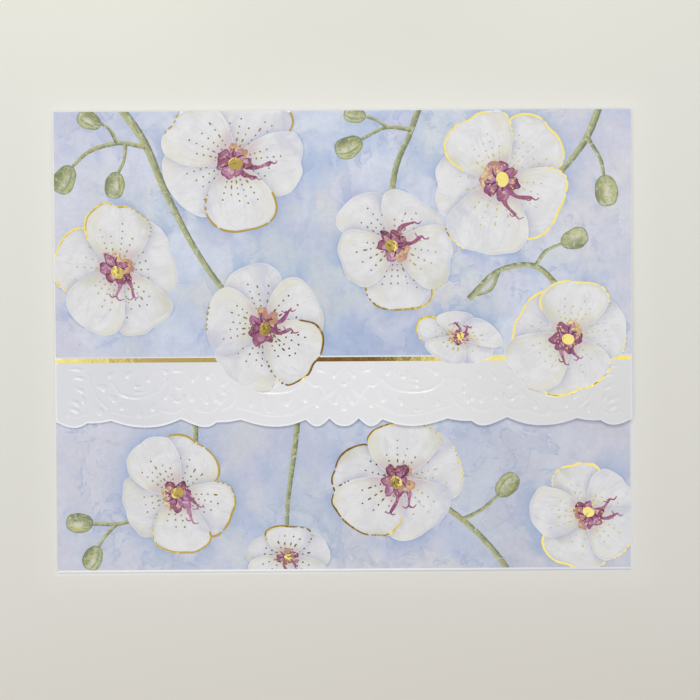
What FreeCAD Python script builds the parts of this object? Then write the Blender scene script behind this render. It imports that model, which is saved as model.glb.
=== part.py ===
import FreeCAD, Part
import math
import os
from FreeCAD import Vector

# Folded greeting card, lying on its back panel.
# One sheet of heavy card, folded once along its top edge. The front leaf is a
# short flap whose free edge is die-cut to a lace-like scallop. It springs up a
# little from the fold, more at its right end than at its left, and the longer
# back panel shows below it.
#
# Frame, in millimetres: X runs along the fold, +Y points from the back panel's
# free edge to the fold, +Z up. The origin is the centre of the box's bottom.

# ---- driving dimensions -----------------------------------------------------
card_width = 127.0      # along the fold
card_height = 101.6     # back panel's free edge to the outside of the fold
sheet_t = 0.40          # thickness of the card stock
fold_gap = 0.30         # clear gap between the two leaves just inside the fold
gap_left = 0.12         # clear gap under the flap's free edge, at its left end
gap_right = 0.60        # and at its right end
flap_length = 69.6      # outside of the fold to the lowest scallops, in plan
cut_clear = 0.06        # the scallop tool stops this far above the back panel

# Right half of the scalloped edge, from the middle of the card outwards. Each
# row is one run between two points of the edge: (x, distance short of
# flap_length). Runs meet at sharp points; within a run the edge is smooth.
scallop_runs = [
    [(0.00, 0.05), (1.70, 0.45), (3.20, 1.75)],
    [(3.20, 1.75), (4.55, 0.55), (5.95, 0.00), (7.10, 0.35), (8.45, 1.50)],
    [(8.45, 1.50), (11.4, 0.45), (15.0, 0.00), (18.9, 0.45), (22.8, 1.60)],
    [(22.8, 1.60), (25.2, 1.15), (28.0, 1.05)],
    [(28.0, 1.05), (29.2, 0.30), (30.6, 0.00), (32.7, 0.45), (35.9, 1.80)],
    [(35.9, 1.80), (39.4, 0.50), (43.6, 0.00), (47.8, 0.45), (51.3, 1.50)],
    [(51.3, 1.50), (53.7, 1.05), (56.5, 1.00)],
    [(56.5, 1.00), (57.9, 0.25), (59.4, 0.00), (61.3, 0.35), (63.5, 1.35)],
]
# -----------------------------------------------------------------------------

y_fold = card_height / 2.0
y_free = -card_height / 2.0
half_w = card_width / 2.0

r_in = fold_gap / 2.0
r_out = r_in + sheet_t
y_c = y_fold - r_out            # centre line of the fold
z_c = r_out

y_over = y_fold - flap_length - 2.0   # past the edge, trimmed by the scallops


def tilt_for(free_gap):
    # The flap leaves the fold at a small angle, so that its underside reaches
    # free_gap over the back panel at the free edge.
    tilt = 0.0
    for _ in range(20):
        run_in = (y_c + r_in * math.sin(tilt)) - (y_fold - flap_length)
        rise_in = (sheet_t + free_gap) - (z_c + r_in * math.cos(tilt))
        tilt = math.atan2(rise_in, run_in)
    return tilt


def section(x, tilt):
    """Outline of the folded sheet across the fold, at one end of the card."""
    end_angle = math.pi / 2.0 - tilt
    mid_angle = (end_angle - math.pi / 2.0) / 2.0

    def yz(y, z):
        return Vector(x, y, z)

    def on_fold(radius, angle):
        return yz(y_c + radius * math.cos(angle), z_c + radius * math.sin(angle))

    def leaf_point(radius, y):
        # a point of the flap's face that continues the fold's arc of this radius
        y0 = y_c + radius * math.cos(end_angle)
        z0 = z_c + radius * math.sin(end_angle)
        return yz(y, z0 + (y0 - y) * math.tan(tilt))

    outer_start = yz(y_c, 0.0)
    outer_end = on_fold(r_out, end_angle)
    inner_start = yz(y_c, sheet_t)
    inner_end = on_fold(r_in, end_angle)
    flap_top = leaf_point(r_out, y_over)
    flap_under = leaf_point(r_in, y_over)
    back_low = yz(y_free, 0.0)
    back_top = yz(y_free, sheet_t)
    return Part.Wire([
        Part.LineSegment(back_low, outer_start).toShape(),
        Part.Arc(outer_start, on_fold(r_out, mid_angle), outer_end).toShape(),
        Part.LineSegment(outer_end, flap_top).toShape(),
        Part.LineSegment(flap_top, flap_under).toShape(),
        Part.LineSegment(flap_under, inner_end).toShape(),
        Part.Arc(inner_end, on_fold(r_in, mid_angle), inner_start).toShape(),
        Part.LineSegment(inner_start, back_top).toShape(),
        Part.LineSegment(back_top, back_low).toShape(),
    ])


# The sheet runs straight from one end's section to the other's
tilt_left = tilt_for(gap_left)
tilt_right = tilt_for(gap_right)
sheet = Part.makeLoft([section(-half_w, tilt_left), section(half_w, tilt_right)], True, True)

# Scalloped free edge: a prism of everything past the edge, above the back panel
z_tool = sheet_t + cut_clear


def edge_point(x, short):
    return Vector(x, y_fold - flap_length + short, z_tool)


def smooth(points):
    curve = Part.BSplineCurve()
    curve.interpolate([edge_point(x, s) for x, s in points])
    return curve.toShape()


# The middle lobe is symmetric, so it is one run through its mirrored points
first = scallop_runs[0]
centre_run = [(-x, s) for x, s in reversed(first[1:])] + first
right_runs = scallop_runs[1:]
left_runs = [[(-x, s) for x, s in reversed(r)] for r in reversed(right_runs)]

# the outermost runs go a little past the sides, so that the tool clears them
margin = 1.0
last_x, last_s = right_runs[-1][-1]
edge_edges = [Part.LineSegment(edge_point(-last_x - margin, last_s),
                               edge_point(-last_x, last_s)).toShape()]
edge_edges += [smooth(r) for r in left_runs]
edge_edges.append(smooth(centre_run))
edge_edges += [smooth(r) for r in right_runs]
edge_edges.append(Part.LineSegment(edge_point(last_x, last_s),
                                   edge_point(last_x + margin, last_s)).toShape())

far_y = y_over - 3.0
p_r = Vector(last_x + margin, far_y, z_tool)
p_l = Vector(-last_x - margin, far_y, z_tool)
edge_edges.append(Part.LineSegment(edge_point(last_x + margin, last_s), p_r).toShape())
edge_edges.append(Part.LineSegment(p_r, p_l).toShape())
edge_edges.append(Part.LineSegment(p_l, edge_point(-last_x - margin, last_s)).toShape())
tool_face = Part.Face(Part.Wire(Part.__sortEdges__(edge_edges)))
tool = tool_face.extrude(Vector(0.0, 0.0, 6.0))

folded = sheet.cut(tool)
card = folded.Solids[0]
for other in folded.Solids[1:]:
    if other.Volume > card.Volume:
        card = other

box = card.optimalBoundingBox()
card.translate(Vector(-(box.XMin + box.XMax) / 2.0,
                      -(box.YMin + box.YMax) / 2.0,
                      -box.ZMin))

os.makedirs("parts", exist_ok=True)
card.exportStep("parts/folded_card.step")

box = card.optimalBoundingBox()
print("solids", len(folded.Solids), "valid", card.isValid(), "volume", round(card.Volume, 2))
print("box", [round(v, 3) for v in (box.XMin, box.YMin, box.ZMin, box.XMax, box.YMax, box.ZMax)])
print("flap tilt in degrees", round(math.degrees(tilt_left), 3), round(math.degrees(tilt_right), 3))
print("flat area of the sheet in mm2", round(card.Volume / sheet_t, 1))
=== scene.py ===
import bpy
import math
import numpy as np
from mathutils import Matrix, Vector
from mathutils.geometry import delaunay_2d_cdt


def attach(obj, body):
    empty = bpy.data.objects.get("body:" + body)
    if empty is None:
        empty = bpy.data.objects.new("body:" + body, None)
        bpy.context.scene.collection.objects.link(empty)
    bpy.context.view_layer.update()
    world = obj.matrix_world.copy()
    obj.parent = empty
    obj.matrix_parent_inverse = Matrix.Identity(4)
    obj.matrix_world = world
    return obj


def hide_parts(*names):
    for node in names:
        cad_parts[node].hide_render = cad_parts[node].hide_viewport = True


# A folded greeting card that lies on its back panel, seen from above.
# All lengths in this script are millimetres until the mesh is made, in metres.
#
# The sheet is described once, unrolled: x along the fold, and yu across it.
# yu runs from the flap's scalloped edge, over the fold, to the back panel's
# free edge. On the flap yu is the plan y. Face A is the outside of the sheet
# (the flap's front and the card's rear), face B the inside.

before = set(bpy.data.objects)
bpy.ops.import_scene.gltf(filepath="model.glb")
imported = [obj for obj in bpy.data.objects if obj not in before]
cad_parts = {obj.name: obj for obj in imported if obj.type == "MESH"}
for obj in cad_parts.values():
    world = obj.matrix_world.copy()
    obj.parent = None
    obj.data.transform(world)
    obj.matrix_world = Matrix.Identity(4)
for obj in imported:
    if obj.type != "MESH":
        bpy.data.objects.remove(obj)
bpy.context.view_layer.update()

# ---- sheet, as in the CAD ----------------------------------------------------
HALF_W = 63.5
HALF_H = 50.8
SHEET_T = 0.40
FOLD_GAP = 0.30
GAP_LEFT = 0.12
GAP_RIGHT = 0.60
FLAP_LEN = 69.6
RELIEF_ROOM = 0.02          # the flap's plain surface lies this much lower at its free edge

R_IN = FOLD_GAP / 2
R_OUT = R_IN + SHEET_T
Y_C = HALF_H - R_OUT
Z_C = R_OUT


def tilt_for(gap):
    t = 0.0
    for _ in range(20):
        t = math.atan2(SHEET_T + gap - RELIEF_ROOM - (Z_C + R_IN * math.cos(t)),
                       (Y_C + R_IN * math.sin(t)) - (HALF_H - FLAP_LEN))
    return t


TILT_L, TILT_R = tilt_for(GAP_LEFT), tilt_for(GAP_RIGHT)
Q0 = R_OUT * math.pi / 2
YU_TOP = Y_C + Q0                         # the outermost line of the fold
YU_REAR = YU_TOP + Q0                     # where the back panel begins
YU_END = YU_REAR + (Y_C + HALF_H)         # the back panel's free edge
C_IN = YU_REAR + Y_C                      # inner face: yu = C_IN - plan y


def smooth(a, b, x):
    t = np.clip((np.asarray(x, float) - a) / (b - a), 0.0, 1.0)
    return t * t * (3 - 2 * t)


def surface(x, yu):
    """Face A at rest: points, the direction of growing yu and the outward normal."""
    x = np.asarray(x, float)
    q = YU_TOP - np.asarray(yu, float)
    T = TILT_L + (TILT_R - TILT_L) * (x + HALF_W) / (2 * HALF_W)
    c, s = np.cos(T), np.sin(T)
    q1 = R_OUT * (math.pi / 2 - T)
    P = np.zeros(x.shape + (3,))
    E = np.zeros_like(P)
    N = np.zeros_like(P)
    P[..., 0] = x
    flap = q >= q1
    rear = q <= -Q0
    fold = ~(flap | rear)
    a = q - q1
    P[..., 1] = np.where(flap, Y_C + R_OUT * s - a * c, P[..., 1])
    P[..., 2] = np.where(flap, Z_C + R_OUT * c + a * s, P[..., 2])
    E[..., 1] = np.where(flap, c, E[..., 1])
    E[..., 2] = np.where(flap, -s, E[..., 2])
    N[..., 1] = np.where(flap, s, N[..., 1])
    N[..., 2] = np.where(flap, c, N[..., 2])
    th = q / R_OUT
    P[..., 1] = np.where(fold, Y_C + R_OUT * np.cos(th), P[..., 1])
    P[..., 2] = np.where(fold, Z_C + R_OUT * np.sin(th), P[..., 2])
    E[..., 1] = np.where(fold, np.sin(th), E[..., 1])
    E[..., 2] = np.where(fold, -np.cos(th), E[..., 2])
    N[..., 1] = np.where(fold, np.cos(th), N[..., 1])
    N[..., 2] = np.where(fold, np.sin(th), N[..., 2])
    P[..., 1] = np.where(rear, Y_C + q + Q0, P[..., 1])
    E[rear] = (0, -1, 0)
    N[rear] = (0, 0, -1)
    return P, E, N


# ---- outline of the sheet ------------------------------------------------------
SCALLOPS = [
    [(0.00, 0.05), (1.70, 0.45), (3.20, 1.75)],
    [(3.20, 1.75), (4.55, 0.55), (5.95, 0.00), (7.10, 0.35), (8.45, 1.50)],
    [(8.45, 1.50), (11.4, 0.45), (15.0, 0.00), (18.9, 0.45), (22.8, 1.60)],
    [(22.8, 1.60), (25.2, 1.15), (28.0, 1.05)],
    [(28.0, 1.05), (29.2, 0.30), (30.6, 0.00), (32.7, 0.45), (35.9, 1.80)],
    [(35.9, 1.80), (39.4, 0.50), (43.6, 0.00), (47.8, 0.45), (51.3, 1.50)],
    [(51.3, 1.50), (53.7, 1.05), (56.5, 1.00)],
    [(56.5, 1.00), (57.9, 0.25), (59.4, 0.00), (61.3, 0.35), (63.5, 1.35)],
]


def natural_spline(px, py, x):
    """Natural cubic through a few points."""
    px, py = np.asarray(px, float), np.asarray(py, float)
    n = len(px)
    h = np.diff(px)
    A = np.eye(n)
    r = np.zeros(n)
    for i in range(1, n - 1):
        A[i, i - 1], A[i, i], A[i, i + 1] = h[i - 1], 2 * (h[i - 1] + h[i]), h[i]
        r[i] = 6 * ((py[i + 1] - py[i]) / h[i] - (py[i] - py[i - 1]) / h[i - 1])
    m = np.linalg.solve(A, r)
    k = np.clip(np.searchsorted(px, x) - 1, 0, n - 2)
    a, b = px[k + 1] - x, x - px[k]
    return (m[k] * a ** 3 + m[k + 1] * b ** 3) / (6 * h[k]) + (
        py[k] / h[k] - m[k] * h[k] / 6) * a + (py[k + 1] / h[k] - m[k + 1] * h[k] / 6) * b


def edge_short(x):
    """How far the flap stops short of its lowest scallops at x."""
    ax = np.abs(np.asarray(x, float)).ravel()
    out = np.zeros_like(ax)
    for k, run in enumerate(SCALLOPS):
        pts = [(-a, b) for a, b in reversed(run[1:])] + run if k == 0 else run
        lo = 0.0 if k == 0 else run[0][0]
        on = (ax >= lo - 1e-9) & (ax <= run[-1][0] + 1e-9)
        if on.any():
            out[on] = natural_spline([p[0] for p in pts], [p[1] for p in pts], ax[on])
    return np.clip(out, 0.0, 3.0).reshape(np.shape(x))


def edge_y(x):
    return HALF_H - FLAP_LEN + edge_short(x)


def scallop_line():
    xs = [0.0]
    for run in SCALLOPS:
        a, b = run[0][0], run[-1][0]
        n = max(2, int(round((b - a) / 0.30)))
        xs += list(np.linspace(a, b, n + 1)[1:])
    xs = np.array(sorted({round(-v, 6) for v in xs} | {round(v, 6) for v in xs}))
    return np.column_stack([xs, edge_y(xs)])


FOLD_ROWS = [YU_TOP - q for q in np.linspace(Q0, -Q0, 15)]   # growing yu


def side_rows():
    y0 = float(edge_y(HALF_W))
    ys = list(np.linspace(y0, FOLD_ROWS[0], 72))
    ys += FOLD_ROWS[1:]
    ys += list(np.linspace(FOLD_ROWS[-1], YU_END, 103))[1:]
    return np.array(ys)


def outline():
    s = scallop_line()
    rows = side_rows()
    right = np.column_stack([np.full(len(rows) - 1, HALF_W), rows[1:]])
    xs = np.linspace(HALF_W, -HALF_W, 128)[1:]
    far = np.column_stack([xs, np.full(len(xs), YU_END)])
    left = np.column_stack([np.full(len(rows) - 2, -HALF_W), rows[1:-1][::-1]])
    return np.vstack([s, right, far, left])


OUTLINE = outline()

# ---- plane geometry ------------------------------------------------------------


def inside(poly, P):
    """Even-odd test of points P against a closed polygon."""
    x, y = P[:, 0], P[:, 1]
    res = np.zeros(len(P), bool)
    x0, y0 = poly[:, 0], poly[:, 1]
    x1, y1 = np.roll(x0, -1), np.roll(y0, -1)
    for a, b, c, d in zip(x0, y0, x1, y1):
        if b == d:
            continue
        hit = (b > y) != (d > y)
        res ^= hit & (x < (c - a) * (y - b) / (d - b) + a)
    return res


def box_of(poly, pad=0.0):
    return poly[:, 0].min() - pad, poly[:, 1].min() - pad, poly[:, 0].max() + pad, poly[:, 1].max() + pad


def in_box(P, b):
    return np.nonzero((P[:, 0] >= b[0]) & (P[:, 1] >= b[1]) & (P[:, 0] <= b[2]) & (P[:, 1] <= b[3]))[0]


def line_distance(line, P, closed=True):
    """Distance from points to a polyline."""
    a = line if closed else line[:-1]
    b = np.roll(line, -1, axis=0) if closed else line[1:]
    best = np.full(len(P), 1e9)
    d = b - a
    L = np.maximum((d * d).sum(1), 1e-12)
    for i in range(0, len(P), 4000):
        Q = P[i:i + 4000]
        w = Q[:, None, :] - a[None]
        t = np.clip((w * d[None]).sum(2) / L, 0, 1)
        r = w - t[..., None] * d[None]
        best[i:i + 4000] = np.sqrt((r * r).sum(2)).min(1)
    return best


def normals_of(line, closed=False):
    if closed:
        d = np.roll(line, -1, axis=0) - np.roll(line, 1, axis=0)
    else:
        d = np.gradient(line, axis=0)
    n = np.column_stack([d[:, 1], -d[:, 0]])
    return n / np.maximum(np.linalg.norm(n, axis=1, keepdims=True), 1e-9)


def resample(line, step):
    d = np.r_[0, np.cumsum(np.linalg.norm(np.diff(line, axis=0), axis=1))]
    n = max(2, int(math.ceil(d[-1] / step)) + 1)
    t = np.linspace(0, d[-1], n)
    return np.column_stack([np.interp(t, d, line[:, 0]), np.interp(t, d, line[:, 1])])


def bezier(points, step=0.6):
    """A smooth line through a few points (Catmull-Rom)."""
    p = np.array(points, float)
    p = np.vstack([2 * p[0] - p[1], p, 2 * p[-1] - p[-2]])
    out = []
    for i in range(1, len(p) - 2):
        t = np.linspace(0, 1, 24, endpoint=False)[:, None]
        a, b, c, d = p[i - 1], p[i], p[i + 1], p[i + 2]
        out.append(0.5 * ((2 * b) + (-a + c) * t + (2 * a - 5 * b + 4 * c - d) * t ** 2 + (-a + 3 * b - 3 * c + d) * t ** 3))
    out.append(p[-2][None])
    return resample(np.vstack(out), step)


# ---- the print: items from the lowest to the topmost ---------------------------
MATS = ["stock", "edge", "wash", "petal", "magenta", "plum", "stem", "bud", "foil", "band", "yolk", "blush"]
M_ID = {n: i for i, n in enumerate(MATS)}


class Item:
    """One printed field: its outline, its material and its own coordinates."""

    def __init__(self, mat, poly, local=None, rnd=0.5, level=0.0, soft=0.45, big=False, cut=False, group=0):
        self.mat, self.poly, self.local = mat, np.asarray(poly, float), local
        self.rnd, self.level, self.soft, self.big, self.cut, self.group = rnd, level, soft, big, cut, group
        self.box = box_of(self.poly)


class Frame2:
    """Turn, squash and place a blossom's own plane."""

    def __init__(self, c, turn=0.0, squash=1.0, along=0.0):
        ca, sa = math.cos(along), math.sin(along)
        A = np.array([[ca, -sa], [sa, ca]])
        S = A @ np.diag([squash, 1.0]) @ A.T
        ct, st = math.cos(turn), math.sin(turn)
        self.M = S @ np.array([[ct, -st], [st, ct]])
        self.I = np.linalg.inv(self.M)
        self.c = np.asarray(c, float)

    def out(self, p):
        return np.asarray(p, float) @ self.M.T + self.c

    def back(self, p):
        return (np.asarray(p, float) - self.c) @ self.I.T


class Petal:
    def __init__(self, fr, ang, length, width, k, bend, notch, ruffle, rng, r0):
        self.fr, self.ang, self.L, self.W, self.k, self.bend, self.r0 = fr, ang, length, width, k, bend, r0
        self.R = np.array([[math.cos(ang), -math.sin(ang)], [math.sin(ang), math.cos(ang)]])
        peri = 1.15 * (length * 2 + width)
        n = int(max(60, peri / 0.42))
        th = np.linspace(0, 2 * math.pi, n, endpoint=False)
        self.norm = 1 + k * k * 0.5
        t, w = self.edge(th)
        amp = [rng.normal(0, 1) / m ** 0.8 for m in (2, 3, 4, 6, 8, 11)]
        ph = rng.uniform(0, 2 * math.pi, 6)
        wob = sum(a * np.cos(m * th + p) for a, m, p in zip(amp, (2, 3, 4, 6, 8, 11), ph))
        wob = wob * smooth(0.25, 0.8, t / length) * ruffle * length
        far = np.exp(-((th - math.pi) / 0.16) ** 2)
        line = np.column_stack([t, w])
        nn = normals_of(line, True)
        line = line + nn * wob[:, None] * -1
        line[:, 0] -= notch * length * far
        self.th = th
        self.line = line
        self.poly = self.place(line)

    def edge(self, th):
        t = self.L * (0.5 - 0.5 * np.cos(th))
        w = -self.W / 2 * np.sin(th) * (1 - self.k * np.cos(th)) / self.norm
        return t, w

    def place(self, tw):
        tw = np.asarray(tw, float)
        p = np.column_stack([tw[:, 0] + self.r0, tw[:, 1] + self.bend * self.L * (tw[:, 0] / self.L) ** 2])
        return self.fr.out(p @ self.R.T)

    def half(self, t):
        u = np.clip(t / self.L, 0.003, 0.997)
        c = 1 - 2 * u
        return self.W / 2 * np.sqrt(1 - c * c) * (1 - self.k * c) / self.norm

    def local(self, P):
        p = self.fr.back(P) @ self.R
        t = p[:, 0] - self.r0
        w = p[:, 1] - self.bend * self.L * (np.clip(t, 0, None) / self.L) ** 2
        return t / self.L, w / np.maximum(self.half(t), 0.05 * self.W)


def ribbon(line, widths):
    n = normals_of(line)
    w = np.asarray(widths)[:, None] / 2
    return np.vstack([line + n * w, (line - n * w)[::-1]])


def along(line):
    """Coordinates of a ribbon-shaped field: how far along, and across."""
    line = np.asarray(line, float)
    n = normals_of(line)
    s = np.r_[0, np.cumsum(np.linalg.norm(np.diff(line, axis=0), axis=1))]

    def local(P, half=0.6):
        d = ((P[:, None, :] - line[None]) ** 2).sum(2)
        k = d.argmin(1)
        return s[k] / max(s[-1], 1e-6), ((P - line[k]) * n[k]).sum(1) / half
    return local


def ellipse(c, a, b, turn=0.0, n=12, fr=None, rng=None, rough=0.0):
    th = np.linspace(0, 2 * math.pi, n, endpoint=False)
    r = 1 + (rng.uniform(-rough, rough, n) if rng is not None and rough else 0)
    p = np.column_stack([a * np.cos(th) * r, b * np.sin(th) * r])
    ct, st = math.cos(turn), math.sin(turn)
    p = p @ np.array([[ct, -st], [st, ct]]).T + np.asarray(c, float)
    return fr.out(p) if fr is not None else p


def blob_local(c, r):
    c = np.asarray(c, float)

    def local(P):
        d = (P - c) / r
        return np.sqrt((d * d).sum(1)), d[:, 0]
    return local


def stem(items, pts, w0, w1, rng, rnd=None):
    line = bezier(pts, 0.7)
    n = len(line)
    w0, w1 = 1.12 * w0, 1.12 * w1
    w = np.linspace(w0, w1, n) * (1 + 0.08 * np.sin(np.linspace(0, 7, n) + rng.uniform(0, 6)) + 0.04 * np.sin(np.linspace(0, 2.1 * n, n)))
    loc = along(line)
    half = (w0 + w1) / 4
    items.append(Item("stem", ribbon(line, w), lambda P, f=loc, h=half: f(P, h), rnd if rnd is not None else rng.random(),
                      level=0.07, soft=0.40, big=True))
    return line


def bud(items, c, length, width, ang, rng):
    """An oval bud: sepals first, then the closed petals' tip."""
    fr = Frame2(c, ang)
    th = np.linspace(0, 2 * math.pi, 34, endpoint=False)
    t = length * 0.5 * -np.cos(th)
    sn = np.sin(th)
    w = width / 2 * np.sign(sn) * np.abs(sn) ** 0.80 * (1 - 0.13 * np.cos(th)) * (1 + 0.035 * np.sin(3 * th + rng.uniform(0, 6)) + 0.02 * np.sin(7 * th + rng.uniform(0, 6)))
    poly = fr.out(np.column_stack([t, w]))

    def local(P, fr=fr, L=length, W=width):
        p = fr.back(P)
        return p[:, 0] / L + 0.5, p[:, 1] / (W / 2)
    items.append(Item("bud", poly, local, rng.random(), level=0.16, soft=1.1, big=True))
    # a paler fold where one sepal laps the other
    s = rng.choice([-1, 1])
    seam = fr.out(np.array([[-0.46 * length, 0.05 * s * width], [-0.2 * length, 0.20 * s * width], [0.1 * length, 0.24 * s * width],
                            [0.36 * length, 0.14 * s * width], [0.47 * length, 0.02 * width]]))
    seam = resample(seam, 0.5)
    k = np.linspace(0, 1, len(seam))
    items.append(Item("stem", ribbon(seam, 0.14 + 0.34 * np.sin(k * math.pi)), None, 0.93, level=0.0))


def foil_run(items, line, width, rng, dashed=0.0, at_end=True):
    """A foil outline: solid, then breaking up into dashes and dots along its last part."""
    d = np.r_[0, np.cumsum(np.linalg.norm(np.diff(line, axis=0), axis=1))]
    total = d[-1]
    if total < 0.8:
        return
    spans, u = [], 0.0
    solid = total * (1 - dashed)
    while u < solid - 0.3:
        v = min(solid, u + rng.uniform(7, 16))
        if solid - v < 2.0:
            v = solid
        spans.append((u, v))
        u = v + rng.uniform(0.30, 0.50)
    u = max(u, solid + 0.4)
    while u < total - 0.3:
        v = min(total, u + rng.uniform(0.5, 1.5) * (1.0 if u < solid + (total - solid) * 0.6 else 0.45))
        spans.append((u, v))
        u = v + rng.uniform(0.38, 0.62)
    for u, v in spans:
        if not at_end:
            u, v = total - v, total - u
        if v - u < 0.15:
            continue
        n = max(3, int((v - u) / 0.5) + 2)
        t = np.linspace(u, v, n)
        p = np.column_stack([np.interp(t, d, line[:, 0]), np.interp(t, d, line[:, 1])])
        k = np.linspace(0, 1, n)
        w = width * (1 + 0.14 * np.sin(t * rng.uniform(0.5, 0.9) + rng.uniform(0, 6)))
        w = w * np.clip(np.minimum(t - u, v - t) / 0.35 + 0.45, 0.45, 1)
        items.append(Item("foil", ribbon(p, w), None, rng.random()))


def heart(items, fr, c, R, rng, tails):
    """The coloured middle of a blossom, painted in a few wet strokes."""
    c2 = np.asarray(c, float)
    loc = blob_local(c2, 0.2 * R)
    a0 = rng.uniform(0, 6.28)
    # trailing strokes first
    for a in tails:
        L = R * rng.uniform(0.40, 0.54)
        bend = rng.choice([-1, 1]) * rng.uniform(0.12, 0.24)
        pts = [(0.10 * R * math.cos(a), 0.10 * R * math.sin(a)),
               (0.6 * L * math.cos(a + bend), 0.6 * L * math.sin(a + bend)),
               (L * math.cos(a - bend * 0.4), L * math.sin(a - bend * 0.4))]
        line = fr.out(bezier(pts, 0.5))
        w = np.linspace(1.30, 0.55, len(line)) * (1 + 0.22 * np.sin(np.linspace(0, 9, len(line)) + rng.uniform(0, 6))) * R / 15
        items.append(Item("magenta", ribbon(line, w), loc, rng.random() * 0.7))
        e = line[-1]
        for s in (-1, 1):
            b = a + s * rng.uniform(0.7, 1.2)
            m = R * rng.uniform(0.07, 0.13)
            tip = np.array([e, e + m * 0.6 * np.array([math.cos(b), math.sin(b)]), e + m * np.array([math.cos(b + s * 0.6), math.sin(b + s * 0.6)])])
            tip = bezier(tip, 0.4)
            items.append(Item("magenta", ribbon(tip, np.linspace(0.40, 0.22, len(tip))), loc, rng.random() * 0.6))
    # lobes round the middle
    m = 7
    for i in range(m):
        a = a0 + 2 * math.pi * (i + rng.uniform(-0.3, 0.3)) / m
        r = R * rng.uniform(0.12, 0.18)
        th = np.linspace(0, 2 * math.pi, 26, endpoint=False)
        la, lb = R * rng.uniform(0.10, 0.155), R * rng.uniform(0.075, 0.115)
        wob = 1 + 0.10 * np.sin(3 * th + rng.uniform(0, 6)) + 0.07 * np.sin(5 * th + rng.uniform(0, 6))
        p = np.column_stack([la * np.cos(th) * wob, lb * np.sin(th) * wob])
        ca, sa = math.cos(a), math.sin(a)
        p = p @ np.array([[ca, -sa], [sa, ca]]).T + np.array([r * ca, r * sa])
        mat = "yolk" if i in (2, 3) else "magenta"
        items.append(Item(mat, fr.out(p), loc, rng.random(), level=0.16, soft=0.5, big=True))
        # a lighter stroke laid inside the lobe
        q = p - np.array([r * ca, r * sa])
        q = q * rng.uniform(0.38, 0.52) + np.array([r * ca, r * sa]) + R * 0.03 * np.array([math.cos(a + 1.9), math.sin(a + 1.9)])
        items.append(Item("blush", fr.out(q), loc, 0.85 if mat == "yolk" else rng.uniform(0.0, 0.7)))
    th = np.linspace(0, 2 * math.pi, 20, endpoint=False)
    rr = 0.115 * R
    items.append(Item("magenta", fr.out(np.column_stack([rr * 1.2 * np.cos(th) * (1 + 0.15 * rng.uniform(-1, 1, 20)),
                                                         rr * np.sin(th) * (1 + 0.15 * rng.uniform(-1, 1, 20))])), loc, 0.15))
    # dark strokes between the lobes
    for i in range(5):
        a = a0 + 2 * math.pi * (i + 0.5 + rng.uniform(-0.25, 0.25)) / 6
        r1 = R * rng.uniform(0.14, 0.22)
        line = fr.out(bezier([(0.05 * R * math.cos(a), 0.05 * R * math.sin(a)), (0.6 * r1 * math.cos(a + 0.2), 0.6 * r1 * math.sin(a + 0.2)), (r1 * math.cos(a), r1 * math.sin(a))], 0.45))
        items.append(Item("plum", ribbon(line, np.linspace(0.5, 0.2, len(line)) * R / 15), loc, rng.random()))
    # foil: the disc, and fine grains over the lobes
    off = fr.out(np.array([[0.05 * R * math.cos(a0), 0.05 * R * math.sin(a0)]]))[0]
    items.append(Item("foil", ellipse(off, 0.104 * R, 0.086 * R, rng.uniform(0, 3.1), 24, rng=rng, rough=0.03), None, rng.random(), level=0.10, soft=0.7, big=True))
    for _ in range(22):
        a = rng.uniform(0, 2 * math.pi)
        rad = R * rng.uniform(0.13, 0.27)
        pos = fr.out(np.array([[rad * math.cos(a), rad * math.sin(a)]]))[0]
        items.append(Item("foil", ellipse(pos, 0.15, 0.14, a, 6), None, rng.random()))


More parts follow.
